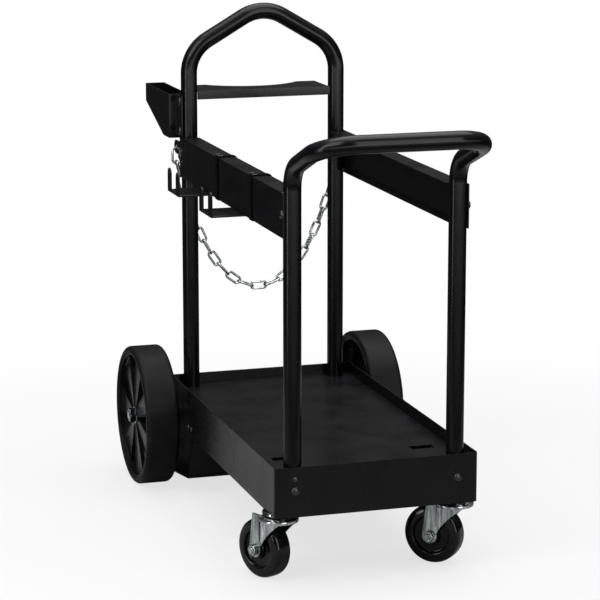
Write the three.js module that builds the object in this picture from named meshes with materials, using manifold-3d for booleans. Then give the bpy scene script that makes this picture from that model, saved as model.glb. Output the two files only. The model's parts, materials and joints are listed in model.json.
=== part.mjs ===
// Welding cart: a shallow steel tray on two swivel casters and two large rear wheels,
// with a front push hoop, a pointed rear hoop, two side rails, cable hooks, a torch
// pocket and a rear platform with cradle and chain for a gas cylinder.
// Millimetres. +X is the cart's right side, -Y its front (handle), +Z up, ground at z = 0.

import * as THREE from 'three';
import { mergeVertices } from 'three/addons/utils/BufferGeometryUtils.js';
import Module from 'manifold-3d';

const wasm = await Module();
wasm.setup();

// Fits and stock
const CLEARANCE = 0.3;
const SHEET = 2;
const PLATE = 2.5;
const TUBE_D = 28.6;
const TUBE_WALL = 2;

// Tray
const TRAY_WIDTH = 338.2;
const TRAY_FRONT_Y = -275.8;
const TRAY_REAR_Y = 377;
const TRAY_TOP_Z = 198.7;
const TRAY_BOTTOM_Z = 117.5;
const TRAY_CORNER_R = 5;
const DECK_TOP_Z = 180;
const DECK_FLANGE = 14;
const DECK_SLOT = { inset: 17.3, y: -154, length: 40, width: 20 };
const CASTER_CHANNEL_LENGTH = 96;
const CASTER_CHANNEL_HEIGHT = 32;
const FRONT_BOLT_Z = 160;
const DECK_SCREW_DROP = 1;

// Hoops
const POST_INSET = 33.8;
const POST_FOOT_Z = 130;
const TUBE_SIDES = 12;
const HANDLE_BEND_Z = 666.4;
const HANDLE_REACH = 147;
const HANDLE_RISE = 55.9;
const HANDLE_BEND_R = 46;
const HANDLE_CORNER_R = 58;
const ARCH_SHOULDER_Z = 781;
const ARCH_APEX_Z = 860;
const ARCH_SHOULDER_R = 68;
const ARCH_APEX_R = 71.5;

// Side rails
const RAIL_BOTTOM_Z = 560;
const RAIL_TOP_Z = 631;
const RAIL_FRONT_Y = -266;
const RAIL_REAR_Y = 366;
const RAIL_TOP_FLANGE = 31;
const RAIL_BOTTOM_FLANGE = 12;
const RAIL_BOLT_Z = 597;
const CHAIN_EAR_R = 12;
const CHAIN_EAR_Y = 393;
const CHAIN_EAR_Z = 610;
const CHAIN_HOLE_D = 9.6;

// Cable hooks and rail straps, left side only
const HOOK_CENTRES_Y = [-3, 207];
const HOOK_WIDTH = 75;
const HOOK_REACH = 53.1;
const HOOK_LAP = 10.9;
const HOOK_FINGER_W = 20;
const HOOK_TOP_Z = 598;
const STRAP_CENTRES_Y = [-88, 117];
const STRAP_WIDTH = 14;
const STRAP_THICKNESS = 1.6;
const SLIDE_LENGTH = 8;
const SLIDE_LAP = 3;
const SLIDE_T = 2.2;

// Torch pocket, left side only
const POCKET_OVERHANG = 13.1;
const POCKET_DEPTH = 35;
const POCKET_FRONT_Y = 388;
const POCKET_FLOOR_REAR_Y = 431;
const POCKET_REAR_Y = 560;
const POCKET_BOTTOM_Z = 626;
const POCKET_KNEE_Z = 672;
const POCKET_TOP_Z = 704;
const POCKET_TAB_FRONT_Y = 349;
const POCKET_BOLT_Z = [642, 694];

// Cylinder cradle and platform
const CYLINDER_GAP = 146.6;
const CRADLE_ARC_R = 108;
const CRADLE_TOP_Z = 712;
const CRADLE_FRONT_Y = 352;
const CRADLE_HORN = 67;
const CRADLE_LIP = 15;
const PLATFORM_FLOOR_Z = 22.5;
const PLATFORM_LIP = 24;
const PLATFORM_FRONT = { topY: 226, kneeY: 264, kneeZ: 50, toeY: 271, toeZ: 33, flatY: 363 };
const PLATFORM_TOP_Z = 152;
const PLATFORM_BOLT_Y = [236, 255];
const PLATFORM_BOLT_Z = 132;

// Rear wheels and axle
const AXLE_D = 16;
const AXLE_Y = 394;
const TYRE_DEPTH = 12.5;
const WHEEL_GAP = 40.4;
const TYRE_WIDTH = 60;
const TYRE_SHOULDER_R = 8;
const RIM_R = 112;
const RIM_WALL = 5;
const RIM_LIP = 8;
const RIM_FLARE = 2;
const RIM_WIDTH = 55;
const SPOKES = 7;
const SPOKE_ROOT = 8;
const SPOKE_TIP = 25;
const SPOKE_THICKNESS = 8;
const SPOKE_LAP = 6;
const SPOKE_DISH = 0.03;
const SPOKE_PHASE = Math.PI / 2;
const SPOKE_OFFSET = 21;
const HUB_R = 21;
const HUB_INBOARD = 25.5;
const HUB_OUTBOARD = 22;
const BUSH_WALL = 2;
const SPACER_R = 11.5;
const AXLE_WASHER_R = 15;
const AXLE_WASHER_T = 2;
const AXLE_NUT_AF = 24;
const AXLE_NUT_T = 9.5;
const AXLE_END = 1.6;

// Casters
const CASTER_INSET = 21.1;
const CASTER_Y = -227;
const CASTER_TRAIL = 34;
const CASTER_TURN_DEG = { left: 25.5, right: 46 };
const CASTER_WHEEL_R = 48.5;
const CASTER_WHEEL_WIDTH = 34;
const CASTER_HUB_R = 15;
const CASTER_RING_R = 36;
const CASTER_RING_W = 6;
const CASTER_RING_STEP = 1;
const CASTER_WEB_DEPTH = 4;
const CASTER_DRAFT = 2;
const CASTER_TOP_R = 27;
const CASTER_TOP_T = 2.5;
const CASTER_RACE_R = 24;
const CASTER_RACE_H = 5.5;
const CASTER_CROWN_R = 32;
const CASTER_CROWN_T = 9;
const CASTER_FORK_GAP = 38;
const CASTER_FORK_T = 3;
const CASTER_AXLE_D = 10;
const CASTER_EYE_R = 13;
const CASTER_LEG_FRONT = 23;
const CASTER_LEG_REAR = 5;
const CASTER_LEG_BELLY = 21.6;
const KINGPIN_D = 12;
const KINGPIN_HEAD_R = 10;
const KINGPIN_HEAD_T = 5;
const KINGPIN_STUD = 9;

// Fasteners
const BOLT_D = 6;
const DOME_R = 7;
const DOME_H = 4.2;
const SMALL_DOME_R = 4.6;
const SMALL_DOME_H = 2.6;
const M8_HEX_AF = 13;
const M8_HEX_T = 5.3;

// Safety chain
const LINKS = 23;
const LINK_WIRE = 4.4;
const LINK_GAP = 7.6;
const LINK_PITCH = 24.5;
const LINK_BITE = 1.1;
const CHAIN_HOOK_LENGTH = 24;
const CHAIN_HOOK_GAP = 10;

// Values that follow from the driving dimensions
const TUBE_R = TUBE_D / 2;
const TRAY_HALF = TRAY_WIDTH / 2;
const TRAY_INNER = TRAY_HALF - SHEET;
const POST_X = TRAY_HALF - POST_INSET;
const CASTER_X = TRAY_HALF - CASTER_INSET;
const WHEEL_X = TRAY_HALF + WHEEL_GAP;
const FRONT_POST_Y = TRAY_FRONT_Y + SHEET + CLEARANCE + TUBE_R;
const REAR_POST_Y = TRAY_REAR_Y - SHEET - CLEARANCE - TUBE_R;
const RAIL_INNER = POST_X + TUBE_R + CLEARANCE;
const RAIL_OUTER = RAIL_INNER + SHEET;
const HOOK_REACH_X = RAIL_OUTER + HOOK_REACH;
const HOOK_ROOT_X = RAIL_OUTER - HOOK_LAP;
const POCKET_OUTER_X = RAIL_OUTER + POCKET_OVERHANG;
const POCKET_INNER_X = POCKET_OUTER_X - POCKET_DEPTH;
const CYLINDER_Y = REAR_POST_Y + CYLINDER_GAP;
const CRADLE_REAR_Y = CYLINDER_Y - CRADLE_HORN;
const PLATFORM_REAR_Y = CYLINDER_Y + CRADLE_ARC_R;
const HANDLE_Y = FRONT_POST_Y - HANDLE_REACH;
const OBJECT_FRONT_Y = HANDLE_Y - TUBE_R;
const CENTRE_Y = (OBJECT_FRONT_Y + PLATFORM_REAR_Y) / 2;
const WHEEL_R = RIM_R + TYRE_DEPTH;
const AXLE_Z = WHEEL_R;
const CHAIN_HOOK_TOP_Z = CHAIN_EAR_Z - CHAIN_HOLE_D / 2 + LINK_WIRE / 2 + CLEARANCE;
const HOLE_R = BOLT_D / 2 + CLEARANCE;

// Finishes
const finish = (color, roughness, metalness) =>
  new THREE.MeshStandardMaterial({ color, roughness, metalness });
const BLACK_COAT = finish('#1b1c1e', 0.42, 0.1);
const ZINC = finish('#c3c6c8', 0.3, 0.9);
const RUBBER = finish('#2a2b2d', 0.75, 0);
const BLACK_PLASTIC = finish('#222426', 0.5, 0);
const WEBBING = finish('#131315', 0.9, 0);
const BLACK_ZINC = finish('#151517', 0.25, 0.6);
const BRONZE = finish('#8a6a3e', 0.5, 0.7);

// Geometry with shared corner points and positions only
function clean(geometry) {
  const bare = geometry.clone();
  bare.deleteAttribute('normal');
  bare.deleteAttribute('uv');
  return mergeVertices(bare, 1e-4);
}

function toSolid(geometry) {
  const bare = clean(geometry);
  return new wasm.Manifold(new wasm.Mesh({
    numProp: 3,
    vertProperties: new Float32Array(bare.attributes.position.array),
    triVerts: new Uint32Array(bare.index.array),
  }));
}

function toGeometry(solid) {
  const mesh = solid.getMesh();
  const geometry = new THREE.BufferGeometry();
  geometry.setAttribute('position', new THREE.BufferAttribute(new Float32Array(mesh.vertProperties), 3));
  geometry.setIndex(new THREE.BufferAttribute(new Uint32Array(mesh.triVerts), 1));
  return geometry;
}

function join(...geometries) {
  return toGeometry(geometries.map(toSolid).reduce((whole, piece) => whole.add(piece)));
}

function cut(geometry, ...tools) {
  return toGeometry(tools.map(toSolid).reduce((rest, tool) => rest.subtract(tool), toSolid(geometry)));
}

function box(x0, x1, y0, y1, z0, z1) {
  return new THREE.BoxGeometry(x1 - x0, y1 - y0, z1 - z0)
    .translate((x0 + x1) / 2, (y0 + y1) / 2, (z0 + z1) / 2);
}

// Round bar or hole between two stations on one axis
function rod(axis, radius, from, to, sides = 16) {
  const bar = new THREE.CylinderGeometry(radius, radius, to - from, sides);
  bar.translate(0, (from + to) / 2, 0);
  if (axis === 'x') bar.rotateZ(-Math.PI / 2);
  if (axis === 'z') bar.rotateX(Math.PI / 2);
  return bar;
}

function polygon(points) {
  return new THREE.Shape(points.map(([u, v]) => new THREE.Vector2(u, v)));
}

// Outline drawn in X and Y, thickened upwards from z0 to z1
function slab(shape, z0, z1, curveSegments = 6) {
  return new THREE.ExtrudeGeometry(shape, { depth: z1 - z0, bevelEnabled: false, curveSegments })
    .translate(0, 0, z0);
}

// Outline drawn in Y and Z, thickened sideways from x0 to x1
function sideSlab(shape, x0, x1, curveSegments = 6) {
  const solid = new THREE.ExtrudeGeometry(shape, { depth: x1 - x0, bevelEnabled: false, curveSegments });
  const turn = new THREE.Matrix4().set(0, 0, 1, x0, 1, 0, 0, 0, 0, 1, 0, 0, 0, 0, 0, 1);
  return solid.applyMatrix4(turn);
}

function roundedRect(halfX, y0, y1, radius) {
  const shape = new THREE.Shape();
  shape.moveTo(-halfX + radius, y0);
  shape.lineTo(halfX - radius, y0);
  shape.absarc(halfX - radius, y0 + radius, radius, -Math.PI / 2, 0);
  shape.lineTo(halfX, y1 - radius);
  shape.absarc(halfX - radius, y1 - radius, radius, 0, Math.PI / 2);
  shape.lineTo(-halfX + radius, y1);
  shape.absarc(-halfX + radius, y1 - radius, radius, Math.PI / 2, Math.PI);
  shape.lineTo(-halfX, y0 + radius);
  shape.absarc(-halfX + radius, y0 + radius, radius, Math.PI, Math.PI * 1.5);
  return shape;
}

// Closed ring turned about an axis; the profile is [radius, station] pairs and closes on itself
function turned(axis, profile, segments) {
  const points = [...profile, profile[0]].map(([r, s]) => new THREE.Vector2(r, s));
  const ring = new THREE.LatheGeometry(points, segments);
  if (axis === 'x') ring.rotateZ(-Math.PI / 2);
  if (axis === 'z') ring.rotateX(Math.PI / 2);
  return toGeometry(orient(ring));
}

function orient(geometry) {
  const bare = clean(geometry);
  const solid = toSolid(bare);
  if (solid.volume() > 0) return solid;
  const index = bare.index.array;
  for (let i = 0; i < index.length; i += 3) [index[i], index[i + 1]] = [index[i + 1], index[i]];
  return toSolid(bare);
}

function mirrorX(geometry) {
  const copy = clean(geometry).applyMatrix4(new THREE.Matrix4().makeScale(-1, 1, 1));
  const index = copy.index.array;
  for (let i = 0; i < index.length; i += 3) [index[i], index[i + 1]] = [index[i + 1], index[i]];
  return copy;
}

// Straight runs joined by circular bends, with stations only where the tube turns
class BentPath extends THREE.Curve {
  constructor(corners, radii, bendSteps) {
    super();
    this.stations = [];
    const put = (point, tangent) => this.stations.push({ point, tangent });
    const last = corners.length - 1;
    put(corners[0], corners[1].clone().sub(corners[0]).normalize());
    for (let i = 1; i < last; i += 1) {
      const inward = corners[i].clone().sub(corners[i - 1]).normalize();
      const outward = corners[i + 1].clone().sub(corners[i]).normalize();
      const turn = inward.angleTo(outward);
      const reach = radii[i - 1] * Math.tan(turn / 2);
      const start = corners[i].clone().addScaledVector(inward, -reach);
      const across = outward.clone().addScaledVector(inward, -inward.dot(outward)).normalize();
      const steps = Math.max(2, Math.round(bendSteps * turn / (Math.PI / 2)));
      for (let k = 0; k <= steps; k += 1) {
        const a = turn * k / steps;
        const point = start.clone()
          .addScaledVector(inward, radii[i - 1] * Math.sin(a))
          .addScaledVector(across, radii[i - 1] * (1 - Math.cos(a)));
        const tangent = inward.clone().multiplyScalar(Math.cos(a)).addScaledVector(across, Math.sin(a));
        put(point, tangent);
      }
    }
    put(corners[last], corners[last].clone().sub(corners[last - 1]).normalize());
  }

  get steps() {
    return this.stations.length - 1;
  }

  getSpacedPoints() {
    return this.stations.map(({ point }) => point.clone());
  }

  getTangentAt(u, target = new THREE.Vector3()) {
    return target.copy(this.stations[Math.round(u * this.steps)].tangent);
  }
}

function circlePath(radius, sides, Kind) {
  const points = [];
  for (let i = 0; i < sides; i += 1) {
    const a = 2 * Math.PI * i / sides;
    points.push(new THREE.Vector2(radius * Math.cos(a), radius * Math.sin(a)));
  }
  return new Kind(points);
}

function bentTube(corners, radii) {
  const path = new BentPath(corners, radii, 6);
  const section = circlePath(TUBE_R, TUBE_SIDES, THREE.Shape);
  section.holes.push(circlePath(TUBE_R - TUBE_WALL, TUBE_SIDES, THREE.Path));
  return new THREE.ExtrudeGeometry(section, { extrudePath: path, steps: path.steps, bevelEnabled: false });
}

const vec = (x, y, z) => new THREE.Vector3(x, y, z);

const cart = new THREE.Group();
cart.position.set(0, -CENTRE_Y, 0);
const root = new THREE.Group();
root.add(cart);

function add(parent, name, geometry, material) {
  const tidy = clean(geometry);
  tidy.computeVertexNormals();
  const mesh = new THREE.Mesh(tidy, material);
  mesh.name = name;
  parent.add(mesh);
  return mesh;
}

// Fastener drawn along +Z: head on the seat at z = 0, short shank below it
function domeBolt(headR, headH) {
  const arc = [];
  for (let k = 0; k <= 2; k += 1) {
    const a = Math.PI / 2 * k / 2;
    arc.push(vec2(k === 2 ? 0 : headR * Math.cos(a), headH * (0.3 + 0.7 * Math.sin(a))));
  }
  const shankR = BOLT_D / 2;
  const profile = [vec2(0, -SHEET), vec2(shankR, -SHEET), vec2(shankR, CLEARANCE / 2)];
  profile.push(vec2(headR, CLEARANCE / 2), ...arc);
  return toGeometry(orient(new THREE.LatheGeometry(profile, 8).rotateX(Math.PI / 2)));
}

function vec2(x, y) {
  return new THREE.Vector2(x, y);
}

function hexBar(acrossFlats, z0, z1) {
  return rod('z', acrossFlats / Math.sqrt(3), z0, z1, 6);
}

function placeBolt(parent, name, geometry, position, outward) {
  const bolt = add(parent, name, geometry, BLACK_ZINC);
  bolt.position.copy(position);
  bolt.quaternion.setFromUnitVectors(vec(0, 0, 1), outward);
  return bolt;
}

// Tray: skirt, deck and the channel that carries the casters
const FRONT_WALL_BOLTS = [
  { name: 'front_post_bolt_left', x: -POST_X, z: FRONT_BOLT_Z, small: false },
  { name: 'front_post_bolt_right', x: POST_X, z: FRONT_BOLT_Z, small: false },
  { name: 'deck_screw_front_left', x: -POST_X, z: DECK_TOP_Z - DECK_SCREW_DROP, small: true },
];

function baseFrame() {
  const outline = roundedRect(TRAY_HALF, TRAY_FRONT_Y, TRAY_REAR_Y, TRAY_CORNER_R);
  outline.holes.push(roundedRect(TRAY_INNER, TRAY_FRONT_Y + SHEET, TRAY_REAR_Y - SHEET, TRAY_CORNER_R - SHEET));
  const wall = slab(outline, TRAY_BOTTOM_Z, TRAY_TOP_Z, 3);
  const holes = FRONT_WALL_BOLTS.map(({ x, z }) =>
    rod('y', HOLE_R, TRAY_FRONT_Y - 1, TRAY_FRONT_Y + SHEET + 1, 8).translate(x, 0, z));
  for (const y of PLATFORM_BOLT_Y) {
    holes.push(rod('x', HOLE_R, -TRAY_HALF - 1, -TRAY_INNER + 1, 8).translate(0, y, PLATFORM_BOLT_Z));
    holes.push(rod('x', HOLE_R, TRAY_INNER - 1, TRAY_HALF + 1, 8).translate(0, y, PLATFORM_BOLT_Z));
  }
  return cut(wall, ...holes);
}

function deckPlate() {
  const half = TRAY_INNER - CLEARANCE;
  const y0 = TRAY_FRONT_Y + SHEET + CLEARANCE;
  const y1 = TRAY_REAR_Y - SHEET - CLEARANCE;
  const under = DECK_TOP_Z - SHEET;
  const corner = TRAY_CORNER_R - SHEET;
  const top = box(-half, half, y0 + corner, y1 - corner, under, DECK_TOP_Z);
  const front = box(-half + corner, half - corner, y0, y0 + corner + 1, under, DECK_TOP_Z);
  const rear = box(-half + corner, half - corner, y1 - corner - 1, y1, under, DECK_TOP_Z);
  const flangeBottom = DECK_TOP_Z - DECK_FLANGE;
  const left = box(-half, -half + SHEET, y0 + corner, y1 - corner, flangeBottom, DECK_TOP_Z);
  const right = box(half - SHEET, half, y0 + corner, y1 - corner, flangeBottom, DECK_TOP_Z);
  const holes = [];
  for (const x of [-POST_X, POST_X]) {
    for (const y of [FRONT_POST_Y, REAR_POST_Y]) {
      holes.push(rod('z', TUBE_R + CLEARANCE * 2, under - 1, DECK_TOP_Z + 1, 16).translate(x, y, 0));
    }
  }
  const { inset, y, length, width } = DECK_SLOT;
  for (const side of [inset - POST_X, POST_X - inset]) {
    const [halfLength, halfWidth] = [length / 2, width / 2];
    holes.push(box(side - halfLength, side + halfLength, y - halfWidth, y + halfWidth, under - 1, DECK_TOP_Z + 1));
  }
  return cut(join(top, front, rear, left, right), ...holes);
}

function casterChannel() {
  const half = TRAY_INNER - CLEARANCE;
  const corner = TRAY_CORNER_R - SHEET;
  const y0 = TRAY_FRONT_Y + SHEET + CLEARANCE + corner;
  const y1 = y0 + CASTER_CHANNEL_LENGTH;
  const z0 = TRAY_BOTTOM_Z;
  const z1 = z0 + CASTER_CHANNEL_HEIGHT;
  const web = box(-half, half, y0, y1, z0, z0 + SHEET);
  const left = box(-half, -half + SHEET, y0, y1, z0, z1);
  const right = box(half - SHEET, half, y0, y1, z0, z1);
  const back = box(-half, half, y1 - SHEET, y1, z0, z1);
  const holes = [-CASTER_X, CASTER_X].map((x) =>
    rod('z', KINGPIN_D / 2 + CLEARANCE, z0 - 1, z0 + SHEET + 1, 14).translate(x, CASTER_Y, 0));
  return cut(join(web, left, right, back), ...holes);
}

add(cart, 'base_frame', baseFrame(), BLACK_COAT);
add(cart, 'deck_plate', deckPlate(), BLACK_COAT);
add(cart, 'caster_channel', casterChannel(), BLACK_COAT);

const DOME_BOLT = domeBolt(DOME_R, DOME_H);
const SMALL_DOME_BOLT = domeBolt(SMALL_DOME_R, SMALL_DOME_H);
for (const { name, x, z, small } of FRONT_WALL_BOLTS) {
  placeBolt(cart, name, small ? SMALL_DOME_BOLT : DOME_BOLT, vec(x, TRAY_FRONT_Y, z), vec(0, -1, 0));
}

// Hoops: bent steel tube standing in the tray's corners
const handleZ = HANDLE_BEND_Z + HANDLE_RISE;
add(cart, 'front_hoop', bentTube([
  vec(-POST_X, FRONT_POST_Y, POST_FOOT_Z),
  vec(-POST_X, FRONT_POST_Y, HANDLE_BEND_Z),
  vec(-POST_X, HANDLE_Y, handleZ),
  vec(POST_X, HANDLE_Y, handleZ),
  vec(POST_X, FRONT_POST_Y, HANDLE_BEND_Z),
  vec(POST_X, FRONT_POST_Y, POST_FOOT_Z),
], [HANDLE_BEND_R, HANDLE_CORNER_R, HANDLE_CORNER_R, HANDLE_BEND_R]), BLACK_COAT);

add(cart, 'rear_hoop', bentTube([
  vec(-POST_X, REAR_POST_Y, POST_FOOT_Z),
  vec(-POST_X, REAR_POST_Y, ARCH_SHOULDER_Z),
  vec(0, REAR_POST_Y, ARCH_APEX_Z),
  vec(POST_X, REAR_POST_Y, ARCH_SHOULDER_Z),
  vec(POST_X, REAR_POST_Y, POST_FOOT_Z),
], [ARCH_SHOULDER_R, ARCH_APEX_R, ARCH_SHOULDER_R]), BLACK_COAT);

// Side rails: folded channels on the outside of the posts, each with a chain ear at the rear
function leftRail() {
  const y0 = FRONT_POST_Y + TUBE_R + CLEARANCE;
  const y1 = REAR_POST_Y - TUBE_R - CLEARANCE;
  const ear = new THREE.Shape();
  ear.moveTo(RAIL_REAR_Y - 5, CHAIN_EAR_Z - CHAIN_EAR_R);
  ear.lineTo(CHAIN_EAR_Y, CHAIN_EAR_Z - CHAIN_EAR_R);
  ear.absarc(CHAIN_EAR_Y, CHAIN_EAR_Z, CHAIN_EAR_R, -Math.PI / 2, Math.PI / 2);
  ear.lineTo(RAIL_REAR_Y - 5, CHAIN_EAR_Z + CHAIN_EAR_R);
  const web = box(-RAIL_OUTER, -RAIL_INNER, RAIL_FRONT_Y, RAIL_REAR_Y, RAIL_BOTTOM_Z, RAIL_TOP_Z);
  const top = box(-RAIL_OUTER, -RAIL_OUTER + RAIL_TOP_FLANGE, y0, y1, RAIL_TOP_Z - SHEET, RAIL_TOP_Z);
  const low = box(-RAIL_OUTER, -RAIL_OUTER + RAIL_BOTTOM_FLANGE, y0, y1, RAIL_BOTTOM_Z, RAIL_BOTTOM_Z + SHEET);
  const holes = [FRONT_POST_Y, REAR_POST_Y].map((y) =>
    rod('x', HOLE_R, -RAIL_OUTER - 1, -RAIL_INNER + 1, 8).translate(0, y, RAIL_BOLT_Z));
  holes.push(rod('x', CHAIN_HOLE_D / 2, -RAIL_OUTER - 1, -RAIL_INNER + 1, 14)
    .translate(0, CHAIN_EAR_Y, CHAIN_EAR_Z));
  return cut(join(web, top, low, sideSlab(ear, -RAIL_OUTER, -RAIL_INNER, 8)), ...holes);
}

const RAIL = leftRail();
add(cart, 'rail_left', RAIL, BLACK_COAT);
add(cart, 'rail_right', mirrorX(RAIL), BLACK_COAT);
for (const [side, sign] of [['left', -1], ['right', 1]]) {
  for (const [end, y] of [['front', FRONT_POST_Y], ['rear', REAR_POST_Y]]) {
    const seat = vec(sign * RAIL_OUTER, y, RAIL_BOLT_Z);
    placeBolt(cart, `rail_bolt_${side}_${end}`, DOME_BOLT, seat, vec(sign, 0, 0));
  }
}

// Cable hooks: flat tongues under the left rail, each ending in two upturned round-tipped fingers
function cableHook() {
  const half = HOOK_WIDTH / 2;
  const top = RAIL_BOTTOM_Z - CLEARANCE;
  const thick = SHEET + 1;
  const tongue = box(-HOOK_REACH_X, -HOOK_ROOT_X, -half, half, top - thick, top);
  const fingers = [-half, half - HOOK_FINGER_W].map((y) => {
    const tip = new THREE.Shape();
    tip.moveTo(y, top - thick);
    tip.lineTo(y + HOOK_FINGER_W, top - thick);
    tip.absarc(y + HOOK_FINGER_W / 2, HOOK_TOP_Z - HOOK_FINGER_W / 2, HOOK_FINGER_W / 2, 0, Math.PI);
    return sideSlab(tip, -HOOK_REACH_X, -HOOK_REACH_X + thick, 10);
  });
  return join(tongue, ...fingers);
}

// Straps: webbing loops closed round the left rail, each with a flat slide on its top edge
function railStrap() {
  const half = STRAP_WIDTH / 2;
  const x0 = -RAIL_OUTER - CLEARANCE;
  const x1 = -RAIL_OUTER + RAIL_TOP_FLANGE + CLEARANCE;
  const z0 = RAIL_BOTTOM_Z - CLEARANCE;
  const z1 = RAIL_TOP_Z + CLEARANCE;
  const t = STRAP_THICKNESS;
  const loop = cut(box(x0 - t, x1 + t, -half, half, z0 - t, z1 + t), box(x0, x1, -half - 1, half + 1, z0, z1));
  const wide = half + SLIDE_LAP;
  const slide = box(x0 - t, x0 + SLIDE_LENGTH, -wide, wide, z1 + t / 2, z1 + t + SLIDE_T);
  return join(loop, slide);
}

const HOOK = cableHook();
const STRAP = railStrap();
for (const [i, end] of ['front', 'rear'].entries()) {
  add(cart, `cable_hook_${end}`, HOOK, BLACK_COAT).position.y = HOOK_CENTRES_Y[i];
  add(cart, `rail_strap_${end}`, STRAP, WEBBING).position.y = STRAP_CENTRES_Y[i];
}

// Torch pocket: open-topped wedge bin with a tab on the outside of the rear left post
function torchPocket() {
  const profile = (inset) => polygon([
    [POCKET_FRONT_Y + inset, POCKET_BOTTOM_Z + inset],
    [POCKET_FLOOR_REAR_Y - inset * 0.2, POCKET_BOTTOM_Z + inset],
    [POCKET_REAR_Y - inset, POCKET_KNEE_Z + inset * 0.8],
    [POCKET_REAR_Y - inset, POCKET_TOP_Z + inset],
    [POCKET_FRONT_Y + inset, POCKET_TOP_Z + inset],
  ]);
  const shell = sideSlab(profile(0), -POCKET_OUTER_X, -POCKET_INNER_X);
  const hollow = sideSlab(profile(SHEET), -POCKET_OUTER_X + SHEET, -POCKET_INNER_X - SHEET);
  const tabRear = POCKET_FRONT_Y + SHEET / 2;
  const tab = box(-RAIL_OUTER, -RAIL_INNER, POCKET_TAB_FRONT_Y, tabRear, RAIL_TOP_Z + SHEET, POCKET_TOP_Z);
  const holes = POCKET_BOLT_Z.map((z) =>
    rod('x', HOLE_R, -RAIL_OUTER - 1, -RAIL_INNER + 1, 8).translate(0, REAR_POST_Y, z));
  return cut(join(cut(shell, hollow), tab), ...holes);
}

add(cart, 'torch_pocket', torchPocket(), BLACK_COAT);
for (const [i, level] of ['lower', 'upper'].entries()) {
  const seat = vec(-RAIL_OUTER, REAR_POST_Y, POCKET_BOLT_Z[i]);
  placeBolt(cart, `pocket_bolt_${level}`, DOME_BOLT, seat, vec(-1, 0, 0));
}

// Cradle: flat plate between the rear posts, hollowed for the cylinder, with a front lip that meets the posts
function cylinderCradle() {
  const half = POST_X - TUBE_R - CLEARANCE;
  const plan = new THREE.Shape();
  const hornX = Math.sqrt(CRADLE_ARC_R ** 2 - (CYLINDER_Y - CRADLE_REAR_Y) ** 2);
  const edge = Math.atan2(CRADLE_REAR_Y - CYLINDER_Y, hornX);
  plan.moveTo(-half, CRADLE_FRONT_Y);
  plan.lineTo(half, CRADLE_FRONT_Y);
  plan.lineTo(half, CRADLE_REAR_Y);
  plan.absarc(0, CYLINDER_Y, CRADLE_ARC_R, edge, -Math.PI - edge, true);
  plan.lineTo(-half, CRADLE_REAR_Y);
  const plate = slab(plan, CRADLE_TOP_Z - PLATE, CRADLE_TOP_Z, 14);
  const lipRear = CRADLE_FRONT_Y + PLATE;
  const lipHalf = POST_X - Math.sqrt(TUBE_R ** 2 - (REAR_POST_Y - lipRear) ** 2) - CLEARANCE;
  const lip = box(-lipHalf, lipHalf, CRADLE_FRONT_Y, lipRear, CRADLE_TOP_Z - CRADLE_LIP, CRADLE_TOP_Z);
  return join(plate, lip);
}

// Platform: side plates inside the skirt, a sloping front wall and a low floor with a rear lip
function cylinderPlatform() {
  const { topY, kneeY, kneeZ, toeY, toeZ, flatY } = PLATFORM_FRONT;
  const outer = TRAY_INNER - CLEARANCE;
  const wallFront = TRAY_REAR_Y - TRAY_CORNER_R - CLEARANCE;
  const wallRear = TRAY_REAR_Y + CLEARANCE;
  const under = TRAY_BOTTOM_Z - CLEARANCE;
  const floorUnder = PLATFORM_FLOOR_Z - PLATE;
  const lipTop = floorUnder + PLATFORM_LIP;
  const eyeR = PLATFORM_TOP_Z - AXLE_Z;
  const side = polygon([
    [topY, PLATFORM_TOP_Z], [topY, TRAY_BOTTOM_Z], [kneeY, kneeZ], [toeY, toeZ], [flatY, floorUnder],
    [PLATFORM_REAR_Y, floorUnder], [PLATFORM_REAR_Y, lipTop], [AXLE_Y + eyeR * 2, lipTop + eyeR],
    [AXLE_Y + eyeR, AXLE_Z], [AXLE_Y + eyeR * 0.7, AXLE_Z + eyeR * 0.7], [AXLE_Y, PLATFORM_TOP_Z],
    [wallRear, PLATFORM_TOP_Z], [wallRear, under], [wallFront, under], [wallFront, PLATFORM_TOP_Z],
  ]);
  const left = sideSlab(side, -outer, -outer + PLATE);
  const right = sideSlab(side, outer - PLATE, outer);
  const t = PLATE;
  const pan = sideSlab(polygon([
    [topY, PLATFORM_TOP_Z], [topY, TRAY_BOTTOM_Z], [kneeY, kneeZ], [toeY, toeZ], [flatY, floorUnder],
    [PLATFORM_REAR_Y, floorUnder], [PLATFORM_REAR_Y, lipTop], [PLATFORM_REAR_Y - t, lipTop],
    [PLATFORM_REAR_Y - t, PLATFORM_FLOOR_Z], [flatY, PLATFORM_FLOOR_Z], [toeY + t, toeZ + t],
    [kneeY + t, kneeZ + t * 0.5], [topY + t, TRAY_BOTTOM_Z], [topY + t, PLATFORM_TOP_Z],
  ]), -outer, outer);
  const bore = rod('x', AXLE_D / 2 + CLEARANCE, -TRAY_HALF, TRAY_HALF, 14).translate(0, AXLE_Y, AXLE_Z);
  return cut(join(left, right, pan), bore);
}

add(cart, 'cylinder_cradle', cylinderCradle(), BLACK_COAT);
add(cart, 'cylinder_platform', cylinderPlatform(), BLACK_COAT);
for (const [side, sign] of [['left', -1], ['right', 1]]) {
  for (const [i, end] of ['front', 'rear'].entries()) {
    const seat = vec(sign * TRAY_HALF, PLATFORM_BOLT_Y[i], PLATFORM_BOLT_Z);
    placeBolt(cart, `platform_bolt_${side}_${end}`, SMALL_DOME_BOLT, seat, vec(sign, 0, 0));
  }
}

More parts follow.
